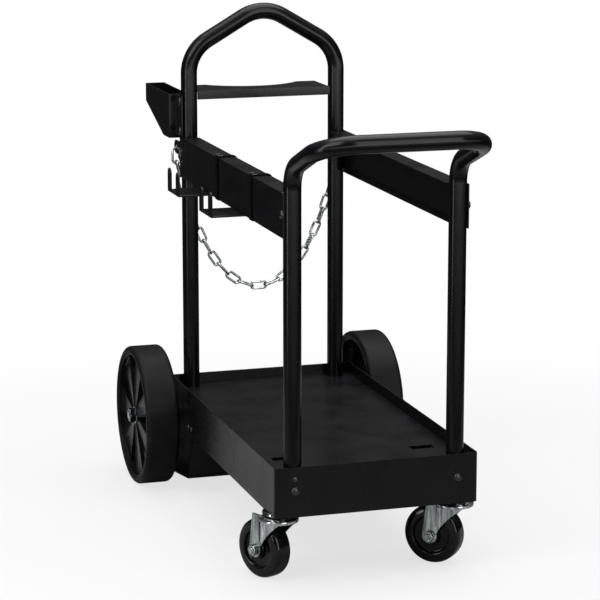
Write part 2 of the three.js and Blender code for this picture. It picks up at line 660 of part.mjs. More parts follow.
// Rear axle, with a nut, washer and spacer at each end
const hubOut = WHEEL_X + HUB_OUTBOARD;
const washerIn = hubOut + CLEARANCE;
const nutIn = washerIn + AXLE_WASHER_T + CLEARANCE;
const axleEnd = nutIn + AXLE_NUT_T + AXLE_END;
const AXLE_BORE_R = AXLE_D / 2 + CLEARANCE;
add(cart, 'axle', rod('x', AXLE_D / 2, -axleEnd, axleEnd, 14), ZINC).position.set(0, AXLE_Y, AXLE_Z);

// Wheel drawn about its own axle, outboard towards +X
function ringX(inner, outer, x0, x1, segments) {
  return turned('x', [[inner, x0], [outer, x0], [outer, x1], [inner, x1]], segments);
}

function wheelCore() {
  const half = RIM_WIDTH / 2;
  const rimOut = RIM_R - CLEARANCE;
  const rimIn = rimOut - RIM_WALL;
  const rim = turned('x', [
    [rimOut, -half], [rimOut, half], [rimIn + RIM_FLARE, half], [rimIn, half - RIM_LIP],
    [rimIn, -half + RIM_LIP], [rimIn + RIM_FLARE, -half],
  ], 36);
  const hub = rod('x', HUB_R, -HUB_INBOARD, HUB_OUTBOARD, 18);
  const root = HUB_R - SPOKE_LAP;
  const tip = rimIn + RIM_FLARE;
  const spoke = polygon([[-SPOKE_ROOT, root], [SPOKE_ROOT, root], [SPOKE_TIP, tip], [-SPOKE_TIP, tip]]);
  const spokes = [];
  for (let i = 0; i < SPOKES; i += 1) {
    const blade = sideSlab(spoke, -SPOKE_THICKNESS / 2, SPOKE_THICKNESS / 2);
    blade.rotateY(-SPOKE_DISH).translate(SPOKE_OFFSET, 0, 0);
    blade.rotateX(SPOKE_PHASE + 2 * Math.PI * i / SPOKES);
    spokes.push(blade);
  }
  const bore = rod('x', AXLE_BORE_R + BUSH_WALL + CLEARANCE, -half * 2, half * 2, 14);
  return cut(join(rim, hub, ...spokes), bore);
}

function tyre() {
  const half = TYRE_WIDTH / 2;
  const r = TYRE_SHOULDER_R;
  const shoulder = [0, 1, 2].map((k) => Math.PI / 2 * k / 2);
  const outer = shoulder.map((a) => [WHEEL_R - r + r * Math.sin(a), half - r + r * Math.cos(a)]);
  const profile = [[RIM_R, -half + 2], [RIM_R, half - 2], ...outer];
  profile.push(...outer.map(([radius, s]) => [radius, -s]).reverse());
  return turned('x', profile, 36);
}

const CORE = wheelCore();
const TYRE = tyre();
const BUSH = ringX(AXLE_BORE_R, AXLE_BORE_R + BUSH_WALL, -HUB_INBOARD + 0.5, HUB_OUTBOARD - 0.5, 14);
const WASHER = ringX(AXLE_BORE_R, AXLE_WASHER_R, washerIn, washerIn + AXLE_WASHER_T, 14);
const SPACER = ringX(AXLE_BORE_R, SPACER_R, TRAY_INNER, WHEEL_X - HUB_INBOARD - CLEARANCE, 14);
const NUT = cut(
  hexBar(AXLE_NUT_AF, nutIn, nutIn + AXLE_NUT_T).rotateY(Math.PI / 2),
  rod('x', AXLE_BORE_R, nutIn - 1, nutIn + AXLE_NUT_T + 1, 14),
);

for (const [side, sign] of [['left', -1], ['right', 1]]) {
  const end = new THREE.Group();
  end.position.set(0, AXLE_Y, AXLE_Z);
  end.rotation.z = sign > 0 ? 0 : Math.PI;
  cart.add(end);
  for (const [piece, shape, look] of [
    ['core', CORE, BLACK_PLASTIC], ['tyre', TYRE, RUBBER], ['bush', BUSH, BRONZE],
  ]) {
    add(end, `rear_wheel_${side}_${piece}`, shape, look).position.x = WHEEL_X;
  }
  add(end, `axle_spacer_${side}`, SPACER, ZINC);
  add(end, `axle_washer_${side}`, WASHER, ZINC);
  add(end, `axle_nut_${side}`, NUT, ZINC);
}

// Caster drawn about its swivel axis on the ground, trailing towards +Y
const plateTop = TRAY_BOTTOM_Z - CLEARANCE;
const plateUnder = plateTop - CASTER_TOP_T;
const raceTop = plateUnder - CLEARANCE;
const crownTop = raceTop - CASTER_RACE_H - CLEARANCE;
const crownUnder = crownTop - CASTER_CROWN_T;
const kingHole = KINGPIN_D / 2 + CLEARANCE;

function casterTop() {
  const lip = plateUnder - 2;
  const rim = CASTER_TOP_R;
  return turned('z', [
    [kingHole, plateUnder], [CASTER_RACE_R + 1, plateUnder], [rim - 1.5, lip],
    [rim, lip], [rim - 1, plateTop], [kingHole, plateTop],
  ], 18);
}

function casterRace() {
  const low = raceTop - CASTER_RACE_H;
  const r = CASTER_RACE_R;
  return turned('z', [[kingHole, low], [r - 4, low], [r, low + 2], [r, raceTop], [kingHole, raceTop]], 14);
}

function casterFork() {
  const eyeZ = CASTER_WHEEL_R;
  const inner = CASTER_FORK_GAP / 2;
  const outer = inner + CASTER_FORK_T;
  const leg = new THREE.Shape();
  const eyeFront = Math.PI * 0.89;
  const bellyEnd = [CASTER_TRAIL + CASTER_EYE_R * Math.cos(eyeFront), eyeZ + CASTER_EYE_R * Math.sin(eyeFront)];
  leg.moveTo(-CASTER_LEG_FRONT, crownTop);
  leg.lineTo(-CASTER_LEG_FRONT, crownUnder);
  leg.quadraticCurveTo(CASTER_TRAIL * 0.25, crownUnder - CASTER_LEG_BELLY, ...bellyEnd);
  leg.absarc(CASTER_TRAIL, eyeZ, CASTER_EYE_R, eyeFront, Math.PI * 2.04);
  leg.lineTo(CASTER_TRAIL + CASTER_LEG_REAR, crownTop);
  const crown = rod('z', CASTER_CROWN_R, crownUnder, crownTop, 18);
  const legs = [sideSlab(leg, -outer, -inner, 5), sideSlab(leg, inner, outer, 5)];
  const pinR = CASTER_AXLE_D / 2 + CLEARANCE;
  const pin = rod('x', pinR, -outer - 1, outer + 1, 14).translate(0, CASTER_TRAIL, eyeZ);
  return cut(join(crown, ...legs), rod('z', kingHole, crownUnder - 1, crownTop + 1, 14), pin);
}

function kingpin() {
  const head = rod('z', KINGPIN_HEAD_R, crownUnder - CLEARANCE - KINGPIN_HEAD_T, crownUnder - CLEARANCE, 14);
  const pin = rod('z', KINGPIN_D / 2, crownUnder - CLEARANCE - 1, TRAY_BOTTOM_Z + SHEET + KINGPIN_STUD, 14);
  return join(head, pin);
}

function casterWheel() {
  const half = CASTER_WHEEL_WIDTH / 2;
  const bore = CASTER_AXLE_D / 2 + CLEARANCE;
  const r = CASTER_WHEEL_R;
  const hub = CASTER_HUB_R;
  const ring = CASTER_RING_R;
  const ringIn = ring - CASTER_RING_W;
  const web = half - CASTER_WEB_DEPTH;
  const halfProfile = [
    [bore, half], [hub, half], [hub + CASTER_DRAFT, web], [ringIn - CASTER_DRAFT, web],
    [ringIn, half - CASTER_RING_STEP], [ring, half - CASTER_RING_STEP],
    [r * 0.93, half * 0.82], [r * 0.985, half * 0.62], [r, half * 0.42],
  ];
  return turned('x', [...halfProfile, ...halfProfile.map(([radius, s]) => [radius, -s]).reverse()], 20);
}

function casterAxle() {
  const outer = CASTER_FORK_GAP / 2 + CASTER_FORK_T + CLEARANCE;
  const head = hexBar(M8_HEX_AF + 3, outer, outer + M8_HEX_T + 1).rotateY(Math.PI / 2);
  return join(head, rod('x', CASTER_AXLE_D / 2, -outer - M8_HEX_T - 3, outer + 1, 14));
}

function casterNut() {
  const outer = CASTER_FORK_GAP / 2 + CASTER_FORK_T + CLEARANCE;
  const nut = hexBar(M8_HEX_AF + 3, -outer - M8_HEX_T - 1, -outer).rotateY(Math.PI / 2);
  return cut(nut, rod('x', CASTER_AXLE_D / 2 + CLEARANCE, -outer * 2, 0, 14));
}

const CASTER_FIXED = [['top', casterTop()], ['race', casterRace()], ['kingpin', kingpin()]];
const CASTER_FORK = casterFork();
const CASTER_ROLLING = [
  ['wheel', casterWheel(), BLACK_PLASTIC], ['axle', casterAxle(), ZINC], ['nut', casterNut(), ZINC],
];

for (const [side, sign] of [['left', -1], ['right', 1]]) {
  const seat = new THREE.Group();
  seat.position.set(sign * CASTER_X, CASTER_Y, 0);
  const swivel = new THREE.Group();
  swivel.rotation.z = THREE.MathUtils.degToRad(CASTER_TURN_DEG[side]);
  cart.add(seat);
  seat.add(swivel);
  for (const [piece, shape] of CASTER_FIXED) add(seat, `caster_${side}_${piece}`, shape, ZINC);
  add(swivel, `caster_${side}_fork`, CASTER_FORK, ZINC);
  for (const [piece, shape, look] of CASTER_ROLLING) {
    add(swivel, `caster_${side}_${piece}`, shape, look).position.set(0, CASTER_TRAIL, CASTER_WHEEL_R);
  }
}

// Oval link in the X-Z plane about its centre, long axis along Z
function link(gap, inside, turns) {
  const bend = (gap + LINK_WIRE) / 2;
  const stretch = (inside - gap) / 2;
  const loop = new THREE.TorusGeometry(bend, LINK_WIRE / 2, 5, turns).rotateZ(Math.PI / turns);
  loop.rotateX(Math.PI / 2);
  const spots = loop.attributes.position;
  for (let i = 0; i < spots.count; i += 1) {
    spots.setZ(i, spots.getZ(i) + Math.sign(spots.getZ(i)) * stretch);
  }
  return loop;
}

// Hanging chain: the catenary whose length is that of the links, between the two hooks
const chainEndX = (RAIL_OUTER + RAIL_INNER) / 2;
const hookDrop = CHAIN_HOOK_LENGTH + LINK_WIRE;
const chainEndZ = CHAIN_HOOK_TOP_Z - hookDrop + LINK_WIRE + CLEARANCE;
const step = LINK_PITCH + LINK_BITE;
const chainLength = LINKS * step - LINK_BITE + LINK_WIRE;

function catenaryParameter() {
  let low = 20;
  let high = 400;
  for (let i = 0; i < 60; i += 1) {
    const a = (low + high) / 2;
    if (2 * a * Math.sinh(chainEndX / a) > chainLength) low = a;
    else high = a;
  }
  return low;
}

function safetyChain() {
  const a = catenaryParameter();
  const links = [];
  for (let i = 0; i < LINKS; i += 1) {
    const s = (i - (LINKS - 1) / 2) * step;
    const x = a * Math.asinh(s / a);
    const z = chainEndZ + a * (Math.cosh(x / a) - Math.cosh(chainEndX / a));
    const oval = link(LINK_GAP, LINK_PITCH, 8);
    if (i % 2 === 0) oval.rotateZ(Math.PI / 2);
    oval.rotateY(Math.PI / 2 - Math.atan(s / a)).translate(x, 0, z);
    links.push(oval);
  }
  return join(...links);
}

const chain = new THREE.Group();
chain.position.y = CHAIN_EAR_Y;
cart.add(chain);
add(chain, 'safety_chain', safetyChain(), ZINC);
for (const [side, sign] of [['left', -1], ['right', 1]]) {
  const hook = add(chain, `chain_hook_${side}`, link(CHAIN_HOOK_GAP, CHAIN_HOOK_LENGTH, 10), ZINC);
  hook.position.set(sign * chainEndX, 0, CHAIN_HOOK_TOP_Z - hookDrop / 2);
}

export default root;
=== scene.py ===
"""Looks of a black welding cart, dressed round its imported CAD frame.

Sizes are millimetres of the cart's own drawing: +X is its right side, -Y the end with
the push handle, +Z up and the ground at zero. ``place`` turns them into the frame's metres.
"""
import json
import logging
import math
from abc import ABC, abstractmethod
from dataclasses import dataclass
from enum import Enum
from typing import Any, Callable, Optional, Sequence, Union

import bmesh
import bpy
from mathutils import Matrix, Vector


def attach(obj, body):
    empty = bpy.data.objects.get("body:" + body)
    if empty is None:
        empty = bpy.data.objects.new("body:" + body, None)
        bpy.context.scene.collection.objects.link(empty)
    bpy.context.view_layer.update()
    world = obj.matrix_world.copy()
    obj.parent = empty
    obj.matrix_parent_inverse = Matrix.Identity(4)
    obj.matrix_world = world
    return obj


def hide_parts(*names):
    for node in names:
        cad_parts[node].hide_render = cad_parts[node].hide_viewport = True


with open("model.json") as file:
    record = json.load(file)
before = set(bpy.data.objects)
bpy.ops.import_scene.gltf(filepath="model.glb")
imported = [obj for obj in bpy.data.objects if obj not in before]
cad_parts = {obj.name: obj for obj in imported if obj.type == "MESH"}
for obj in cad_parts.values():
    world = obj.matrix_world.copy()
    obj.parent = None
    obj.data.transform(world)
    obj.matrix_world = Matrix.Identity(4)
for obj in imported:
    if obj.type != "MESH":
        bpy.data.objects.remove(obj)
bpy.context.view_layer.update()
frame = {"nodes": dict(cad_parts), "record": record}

LOG = logging.getLogger("welding_cart")
MM = 0.001
DRAWING_Y = 97.25  # the drawing's Y at the middle of the frame
CLEARANCE = 0.3  # millimetres between pieces that sit side by side
TINY = 1e-6  # metres within which drawn points are one
CAD_TINY = 1e-5  # the same for the corners of a CAD solid
CAD_FLAT = 1.0  # degrees under which two faces of a CAD solid are one
FACING = 0.9  # least part of a normal along an axis for a face that looks that way
SHARP = 32.0  # degrees at which an edge of sheet is sharp, and so below for rounder pieces
SHARP_WHEEL = 34.0
SHARP_TURNED = 40.0
SHARP_TUBE = 50.0
SHARP_WIRE = 60.0
FACE_WEIGHT = 100  # how far a large face outweighs a small one in shading
UPRIGHT = Matrix.Rotation(-math.pi / 2, 4, "Y")  # stands a piece that was turned about X
RESIN_IOR = 1.5
NOISE_SPAN = (0.3, 0.7)
WHITE = (1.0, 1.0, 1.0, 1.0)

Outline = Sequence[tuple[float, float]]
Span = tuple[float, float]
Triple = tuple[float, float, float]
Socket = bpy.types.NodeSocket
Term = Union[float, Socket]
Colour = Union[str, Socket]


class Side(Enum):
    """The two sides of the cart, with the sign of X on each."""

    LEFT = -1
    RIGHT = 1

    @property
    def word(self) -> str:
        """The side as it stands in node names."""
        return self.name.lower()

    @property
    def outward(self) -> Matrix:
        """The turn that makes a piece drawn along +X face out on this side."""
        return Matrix.Rotation(0 if self is Side.RIGHT else math.pi, 4, "Z")


class Slot(Enum):
    """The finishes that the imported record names."""

    POWDER = "powder_coat"
    ZINC = "zinc_plate"
    BLACK_ZINC = "black_zinc"
    POLYMER = "black_polymer"
    RUBBER = "tyre_rubber"
    BRONZE = "bush_bronze"
    WEBBING = "strap_webbing"


def place(x: float, y: float, z: float) -> Vector:
    """Turns a point of the drawing, in millimetres, into the frame's metres."""
    return Vector((x, y - DRAWING_Y, z)) * MM


# ---------------------------------------------------------------- hand tools


def put_down() -> None:
    """Leaves edit mode and deselects everything."""
    if bpy.context.mode != "OBJECT":
        bpy.ops.object.mode_set(mode="OBJECT")
    bpy.ops.object.select_all(action="DESELECT")


def pick_up(*pieces: bpy.types.Object) -> None:
    """Selects only these pieces and makes the first one active.

    Args:
        pieces: The pieces to work on.
    """
    put_down()
    for piece in pieces:
        piece.select_set(True)
    bpy.context.view_layer.objects.active = pieces[0]


def edit(piece: bpy.types.Object) -> None:
    """Opens a piece in edit mode with all of it selected.

    Args:
        piece: The piece to shape.
    """
    pick_up(piece)
    bpy.ops.object.mode_set(mode="EDIT")
    bpy.ops.mesh.select_mode(type="VERT")
    bpy.ops.mesh.select_all(action="SELECT")


def close_shell() -> None:
    """Merges seams of the mesh in edit mode, turns its faces outwards and leaves edit mode."""
    bpy.ops.mesh.select_all(action="SELECT")
    bpy.ops.mesh.remove_doubles(threshold=TINY)
    bpy.ops.mesh.normals_make_consistent(inside=False)
    bpy.ops.object.mode_set(mode="OBJECT")


def select_faces(piece: bpy.types.Object, test: Callable[[bmesh.types.BMFace], bool]) -> None:
    """Selects the faces of a piece in edit mode that pass a test.

    Args:
        piece: The piece in edit mode.
        test: Says whether a face is wanted, from its place or normal.
    """
    bpy.ops.mesh.select_all(action="DESELECT")
    bpy.ops.mesh.select_mode(type="FACE")
    mesh = bmesh.from_edit_mesh(piece.data)
    for face in mesh.faces:
        face.select_set(test(face))
    bmesh.update_edit_mesh(piece.data)


def draw_line(name: str, points: Sequence[Vector]) -> bpy.types.Object:
    """Draws a chain of edges from point to point and stays in edit mode.

    Args:
        name: The new piece's name.
        points: The chain's points in metres.

    Returns:
        The new piece.
    """
    put_down()
    bpy.ops.mesh.primitive_plane_add(size=MM, location=(0, 0, 0))
    piece = bpy.context.object
    piece.name = piece.data.name = name
    edit(piece)
    bpy.ops.mesh.merge(type="CENTER")
    bpy.ops.transform.translate(value=points[0])
    for start, end in zip(points, points[1:]):
        bpy.ops.mesh.extrude_vertices_move(TRANSFORM_OT_translate={"value": end - start})
    return piece


def cut_plate(name: str, outline: Sequence[Vector], thickness: Vector) -> bpy.types.Object:
    """Cuts a plate to an outline and gives it its thickness.

    Args:
        name: The plate's name.
        outline: The corners of one face in metres.
        thickness: The way from that face to the other one.

    Returns:
        The plate.
    """
    piece = draw_line(name, outline)
    bpy.ops.mesh.select_all(action="SELECT")
    bpy.ops.mesh.edge_face_add()
    bpy.ops.mesh.extrude_region_move(TRANSFORM_OT_translate={"value": thickness})
    close_shell()
    return piece


def mirrored(half: Outline) -> list[tuple[float, float]]:
    """Adds the mirror image of half a profile to it."""
    return [*half, *((radius, -station) for radius, station in reversed(half))]


def turn_ring(name: str, profile: Outline, steps: int) -> bpy.types.Object:
    """Turns a profile about the X axis, as on a lathe.

    Args:
        name: The piece's name.
        profile: Radius and station along X of each corner, in millimetres.
        steps: The number of steps round the axis.

    Returns:
        The turned piece, about the origin.
    """
    corners = [Vector((station, 0, radius)) * MM for radius, station in profile]
    piece = draw_line(name, corners + corners[:1])
    bpy.ops.mesh.select_all(action="SELECT")
    bpy.ops.mesh.remove_doubles(threshold=TINY)
    bpy.ops.mesh.spin(steps=steps, angle=math.tau, center=(0, 0, 0), axis=(1, 0, 0))
    close_shell()
    return piece


@dataclass
class Bend:
    """One bend of a tube: the corner that its straight runs make, and its radius."""

    corner: Vector
    radius: float
    steps: int = 12


def bend_tube(
    name: str,
    start: Vector,
    bends: Sequence[Bend],
    end: Vector,
    radius: float,
    sides: int = 28,
    loop: bool = False,
) -> bpy.types.Object:
    """Pushes a round section along straight runs and round bends.

    Args:
        name: The tube's name.
        start: The middle of its first end in metres.
        bends: Its bends in order.
        end: The middle of its last end.
        radius: The section's radius in metres.
        sides: The number of sides of the section.
        loop: Whether the tube closes on itself and has no ends.

    Returns:
        The tube.
    """
    put_down()
    heading = (bends[0].corner - start).normalized()
    bpy.ops.mesh.primitive_circle_add(
        vertices=sides,
        radius=radius,
        fill_type="NOTHING" if loop else "NGON",
        location=start,
        rotation=heading.to_track_quat("Z", "Y").to_euler(),
    )
    piece = bpy.context.object
    piece.name = piece.data.name = name
    bpy.ops.object.transform_apply(location=True, rotation=True, scale=True)
    edit(piece)
    here = start
    for number, bend in enumerate(bends):
        following = bends[number + 1].corner if number + 1 < len(bends) else end
        inward = (bend.corner - here).normalized()
        outward = (following - bend.corner).normalized()
        turn = inward.angle(outward)
        reach = bend.radius * math.tan(turn / 2)
        bend_start = bend.corner - inward * reach
        bpy.ops.mesh.extrude_region_move(TRANSFORM_OT_translate={"value": bend_start - here})
        across = (outward - inward * inward.dot(outward)).normalized()
        bpy.ops.mesh.spin(
            steps=bend.steps,
            angle=-turn,
            center=bend_start + across * bend.radius,
            axis=inward.cross(outward).normalized(),
        )
        here = bend.corner + outward * reach
    bpy.ops.mesh.extrude_region_move(TRANSFORM_OT_translate={"value": end - here})
    close_shell()
    return piece


def ease_edges(piece: bpy.types.Object, width: float, segments: int = 2) -> None:
    """Rounds the sharp edges of a piece.

    Args:
        piece: The piece.
        width: The width of the rounding in millimetres.
        segments: The steps across it.
    """
    pick_up(piece)
    bevel = piece.modifiers.new("eased_edges", "BEVEL")
    bevel.width = width * MM
    bevel.segments = segments
    bevel.limit_method = "ANGLE"
    bevel.angle_limit = math.radians(SHARP)
    bpy.ops.object.modifier_apply(modifier=bevel.name)


def shade(piece: bpy.types.Object, angle: float = SHARP) -> None:
    """Shades a piece smooth between its sharp edges, with its large faces flat.

    Args:
        piece: The piece.
        angle: The least angle in degrees at which an edge counts as sharp.
    """
    pick_up(piece)
    bpy.ops.object.shade_smooth_by_angle(angle=math.radians(angle))
    weight = piece.modifiers.new("flat_faces", "WEIGHTED_NORMAL")
    weight.weight = FACE_WEIGHT
    weight.keep_sharp = True
    bpy.ops.object.modifier_apply(modifier=weight.name)


def weld(name: str, *pieces: bpy.types.Object) -> bpy.types.Object:
    """Joins pieces into one object.

    Args:
        name: The joined piece's name.
        pieces: The pieces to join.

    Returns:
        The joined piece.
    """
    pick_up(*pieces)
    bpy.ops.object.join()
    whole = bpy.context.object
    whole.name = whole.data.name = name
    return whole


def move_in(piece: bpy.types.Object, matrix: Matrix) -> bpy.types.Object:
    """Puts a piece's mesh in its place and leaves its object at the origin.

    Args:
        piece: The piece, drawn about the origin.
        matrix: Its place in the frame.

    Returns:
        The same piece.
    """
    piece.data.transform(matrix)
    piece.data.update()
    return piece


def copy_to(piece: bpy.types.Object, name: str, matrix: Matrix) -> bpy.types.Object:
    """Makes a copy of a piece, with a mesh of its own, in another place.

    Args:
        piece: The pattern.
        name: The copy's name.
        matrix: Where the copy goes.

    Returns:
        The copy.
    """
    twin = bpy.data.objects.new(name, piece.data.copy())
    twin.data.name = name
    bpy.context.collection.objects.link(twin)
    return move_in(twin, matrix)


def scrap(piece: bpy.types.Object) -> None:
    """Removes a pattern that has been copied."""
    bpy.data.objects.remove(piece)


def eased_copy(node: str, width: float, segments: int = 2) -> bpy.types.Object:
    """Copies a CAD node's solid, merges it and rounds its edges.

    Args:
        node: The CAD node's name.
        width: The width of the rounding in millimetres.
        segments: The steps across it.

    Returns:
        The copy.
    """
    piece = copy_to(frame["nodes"][node], f"{node}_finished", Matrix.Identity(4))
    piece.data.materials.clear()
    edit(piece)
    bpy.ops.mesh.remove_doubles(threshold=CAD_TINY)
    bpy.ops.mesh.dissolve_limited(angle_limit=math.radians(CAD_FLAT))
    bpy.ops.object.mode_set(mode="OBJECT")
    ease_edges(piece, width, segments)
    shade(piece)
    return piece


# ---------------------------------------------------------------- finishes


def linear(hex_colour: str) -> tuple[float, float, float, float]:
    """Turns an sRGB hex colour to linear light.

    Args:
        hex_colour: Six hex digits after a hash sign.

    Returns:
        Red, green, blue and a full alpha.
    """
    parts = [int(hex_colour[i : i + 2], 16) / 255 for i in (1, 3, 5)]
    red, green, blue = (c / 12.92 if c <= 0.04045 else ((c + 0.055) / 1.055) ** 2.4 for c in parts)
    return red, green, blue, 1.0


def per_mm(size: float) -> float:
    """Gives the texture scale at which one feature of a pattern is so many millimetres wide."""
    return 1 / (size * MM)


class Graph:
    """A node tree, with short ways to add the nodes that looks are mixed from."""

    def __init__(self, tree: bpy.types.NodeTree, output: str) -> None:
        """Empties the tree and adds its output.

        Args:
            tree: The tree of a material or of the world.
            output: The kind of its output node.
        """
        tree.nodes.clear()
        self.tree = tree
        self.output = self.add(output)

    def add(self, kind: str, inputs: Optional[dict[Any, Any]] = None, **settings: Any) -> bpy.types.Node:
        """Adds one node with its settings, its values and its links.

        Args:
            kind: The shader node's kind.
            inputs: A value, or the socket to link, for each input by name or number.
            settings: The node's own properties.

        Returns:
            The new node.
        """
        node = self.tree.nodes.new(f"ShaderNode{kind}")
        for name, value in settings.items():
            setattr(node, name, value)
        for name, value in (inputs or {}).items():
            if isinstance(value, Socket):
                self.tree.links.new(value, node.inputs[name])
            else:
                node.inputs[name].default_value = value
        return node

    def where(self) -> Socket:
        """Gives the place on the piece, in the frame's metres."""
        return self.add("TexCoord").outputs["Object"]

    def math(self, operation: str, *terms: Term) -> Socket:
        """Works out one operation on numbers and sockets."""
        return self.add("Math", dict(enumerate(terms)), operation=operation).outputs[0]

    def ramp(self, value: Term, span: Span, low: Term = 0.0, high: Term = 1.0, smooth: bool = False) -> Socket:
        """Maps a span of a value to a range, and holds the result beyond both ends.

        Args:
            value: The value.
            span: Where the span begins and where it ends.
            low: The result at its beginning.
            high: The result at its end.
            smooth: Whether the way between is eased.

        Returns:
            The result.
        """
        ends = {"From Min": span[0], "From Max": span[1], "To Min": low, "To Max": high}
        shape = "SMOOTHSTEP" if smooth else "LINEAR"
        return self.add("MapRange", {"Value": value, **ends}, interpolation_type=shape).outputs[0]

    def noise(self, where: Socket, size: float, detail: float = 2.0) -> Socket:
        """Makes cloudy noise, mostly inside NOISE_SPAN, with clouds of a size in millimetres."""
        return self.add("TexNoise", {"Vector": where, "Scale": per_mm(size), "Detail": detail}).outputs["Fac"]

    def blend(self, share: Term, first: Colour, second: Colour) -> Socket:
        """Blends two colours, each a hex colour or a socket, by the share of the second one."""
        first, second = (linear(colour) if isinstance(colour, str) else colour for colour in (first, second))
        return self.add("Mix", {0: share, 6: first, 7: second}, data_type="RGBA").outputs[2]

    def relief(self, height: Socket, strength: float, depth: float) -> Socket:
        """Gives the normal of a fine relief, whose full depth is in millimetres."""
        return self.add("Bump", {"Height": height, "Strength": strength, "Distance": depth * MM}).outputs[0]

    def emit(self, strength: Term) -> Socket:
        """Makes plain white light of a strength."""
        return self.add("Emission", {"Color": WHITE, "Strength": strength}).outputs[0]

    def surface(self, colour: Socket, roughness: Term, normal: Socket, level: Optional[float] = None) -> None:
        """Ends the tree in the surface of a metal, a coating or a moulding.

        Args:
            colour: The base colour.
            roughness: The roughness.
            normal: The normal with its relief.
            level: The specular level of a coating or moulding. A metal has none.
        """
        kind = {"Metallic": 1.0} if level is None else {"IOR": RESIN_IOR, "Specular IOR Level": level}
        values = {"Base Color": colour, "Roughness": roughness, "Normal": normal, **kind}
        self.end(self.add("BsdfPrincipled", values).outputs[0])

    def end(self, shader: Socket) -> None:
        """Links a shader to the output."""
        self.tree.links.new(shader, self.output.inputs[0])


class Finish(ABC):
    """A finish, mixed once and shared by every piece that wears it."""

    name: str

    def material(self) -> bpy.types.Material:
        """Makes the finish's material.

        Returns:
            The material.
        """
        material = bpy.data.materials.new(self.name)
        material.use_nodes = True
        self.mix(Graph(material.node_tree, "OutputMaterial"))
        return material

    @abstractmethod
    def mix(self, graph: Graph) -> None:
        """Fills the material's tree, which has only its output."""


@dataclass(frozen=True)
class PowderCoat(Finish):
    """Semi-gloss black polyester powder coat, baked on steel sheet and tube.

    It gives the eye a deep black with a soft broad sheen, a faint orange peel, cloudy
    gloss, fine scuffs, and a thin veil of workshop dust on what faces up.
    """

    name: str = "powder_coated_steel"
    gloss: Span = (0.17, 0.23)
    level: float = 0.16
    colour: str = "#08080a"
    dust: str = "#222224"
    scuff: str = "#262628"
    peel_mm: float = 2.4  # real peel is near 1 mm; drawn coarser so that it shows
    peel_detail: float = 1.5
    peel_strength: float = 0.08
    peel_depth: float = 0.4
    cloud_mm: float = 55.0
    cloud_detail: float = 4.0
    scratch_mm: float = 1.6
    scratch_turn: Triple = (0.4, 0.9, 0.3)
    scratch_stretch: Triple = (1.0, 0.04, 1.0)
    scratched: Span = (0.72, 0.8)
    scratch_share: float = 0.5
    worn: Span = (0.52, 0.68)
    facing_up: Span = (0.75, 1.0)
    dust_share: float = 0.42
    dust_dulls: float = 0.5

    def mix(self, graph: Graph) -> None:
        """Mixes coat, scuffs and dust.

        Args:
            graph: The tree, with only its output.
        """
        where = graph.where()
        cloud = graph.noise(where, self.cloud_mm, self.cloud_detail)
        peel = graph.noise(where, self.peel_mm, self.peel_detail)
        turned = graph.add(
            "Mapping", {"Vector": where, "Rotation": self.scratch_turn, "Scale": self.scratch_stretch}
        ).outputs[0]
        scratch = graph.ramp(graph.noise(turned, self.scratch_mm), self.scratched, high=self.scratch_share)
        scuffs = graph.math("MULTIPLY", scratch, graph.ramp(cloud, self.worn))
        normal = graph.add("NewGeometry").outputs["Normal"]
        upward = graph.add("SeparateXYZ", {0: normal}).outputs["Z"]
        veil = graph.math("MULTIPLY", graph.ramp(upward, self.facing_up, high=self.dust_share), cloud)
        dusty = graph.blend(veil, self.colour, self.dust)
        gloss = graph.ramp(cloud, NOISE_SPAN, *self.gloss)
        graph.surface(
            graph.blend(scuffs, dusty, self.scuff),
            graph.math("MULTIPLY_ADD", veil, self.dust_dulls, gloss),
            graph.relief(peel, self.peel_strength, self.peel_depth),
            self.level,
        )


@dataclass(frozen=True)
class Zinc(Finish):
    """Electroplated zinc on pressed steel, clear passivated.

    It gives the eye a bright cool metal with soft mottled gloss, faint bluish clouds
    and the drawn lines of the pressing under the plate.
    """

    name: str = "bright_zinc_plate"
    light: str = "#ccd0cf"
    blue: str = "#767d7e"
    gloss: Span = (0.12, 0.2)
    mottle_mm: float = 11.0
    mottle_detail: float = 3.0
    streak_mm: float = 5.0
    streaked: Span = (0.35, 0.65)
    line_mm: float = 0.9  # drawn coarser than the real tool marks so that it shows
    line_strength: float = 0.08
    line_depth: float = 0.2
    drawn: Triple = (1.0, 1.0, 0.12)

    def mix(self, graph: Graph) -> None:
        """Mixes plate, streaks and drawn lines.

        Args:
            graph: The tree, with only its output.
        """
        where = graph.where()
        mottle = graph.noise(where, self.mottle_mm, self.mottle_detail)
        drawn = graph.add("Mapping", {"Vector": where, "Scale": self.drawn}).outputs[0]
        streak, lines = (graph.noise(drawn, size) for size in (self.streak_mm, self.line_mm))
        graph.surface(
            graph.blend(graph.ramp(streak, self.streaked), self.blue, self.light),
            graph.ramp(mottle, NOISE_SPAN, *self.gloss),
            graph.relief(lines, self.line_strength, self.line_depth),
        )


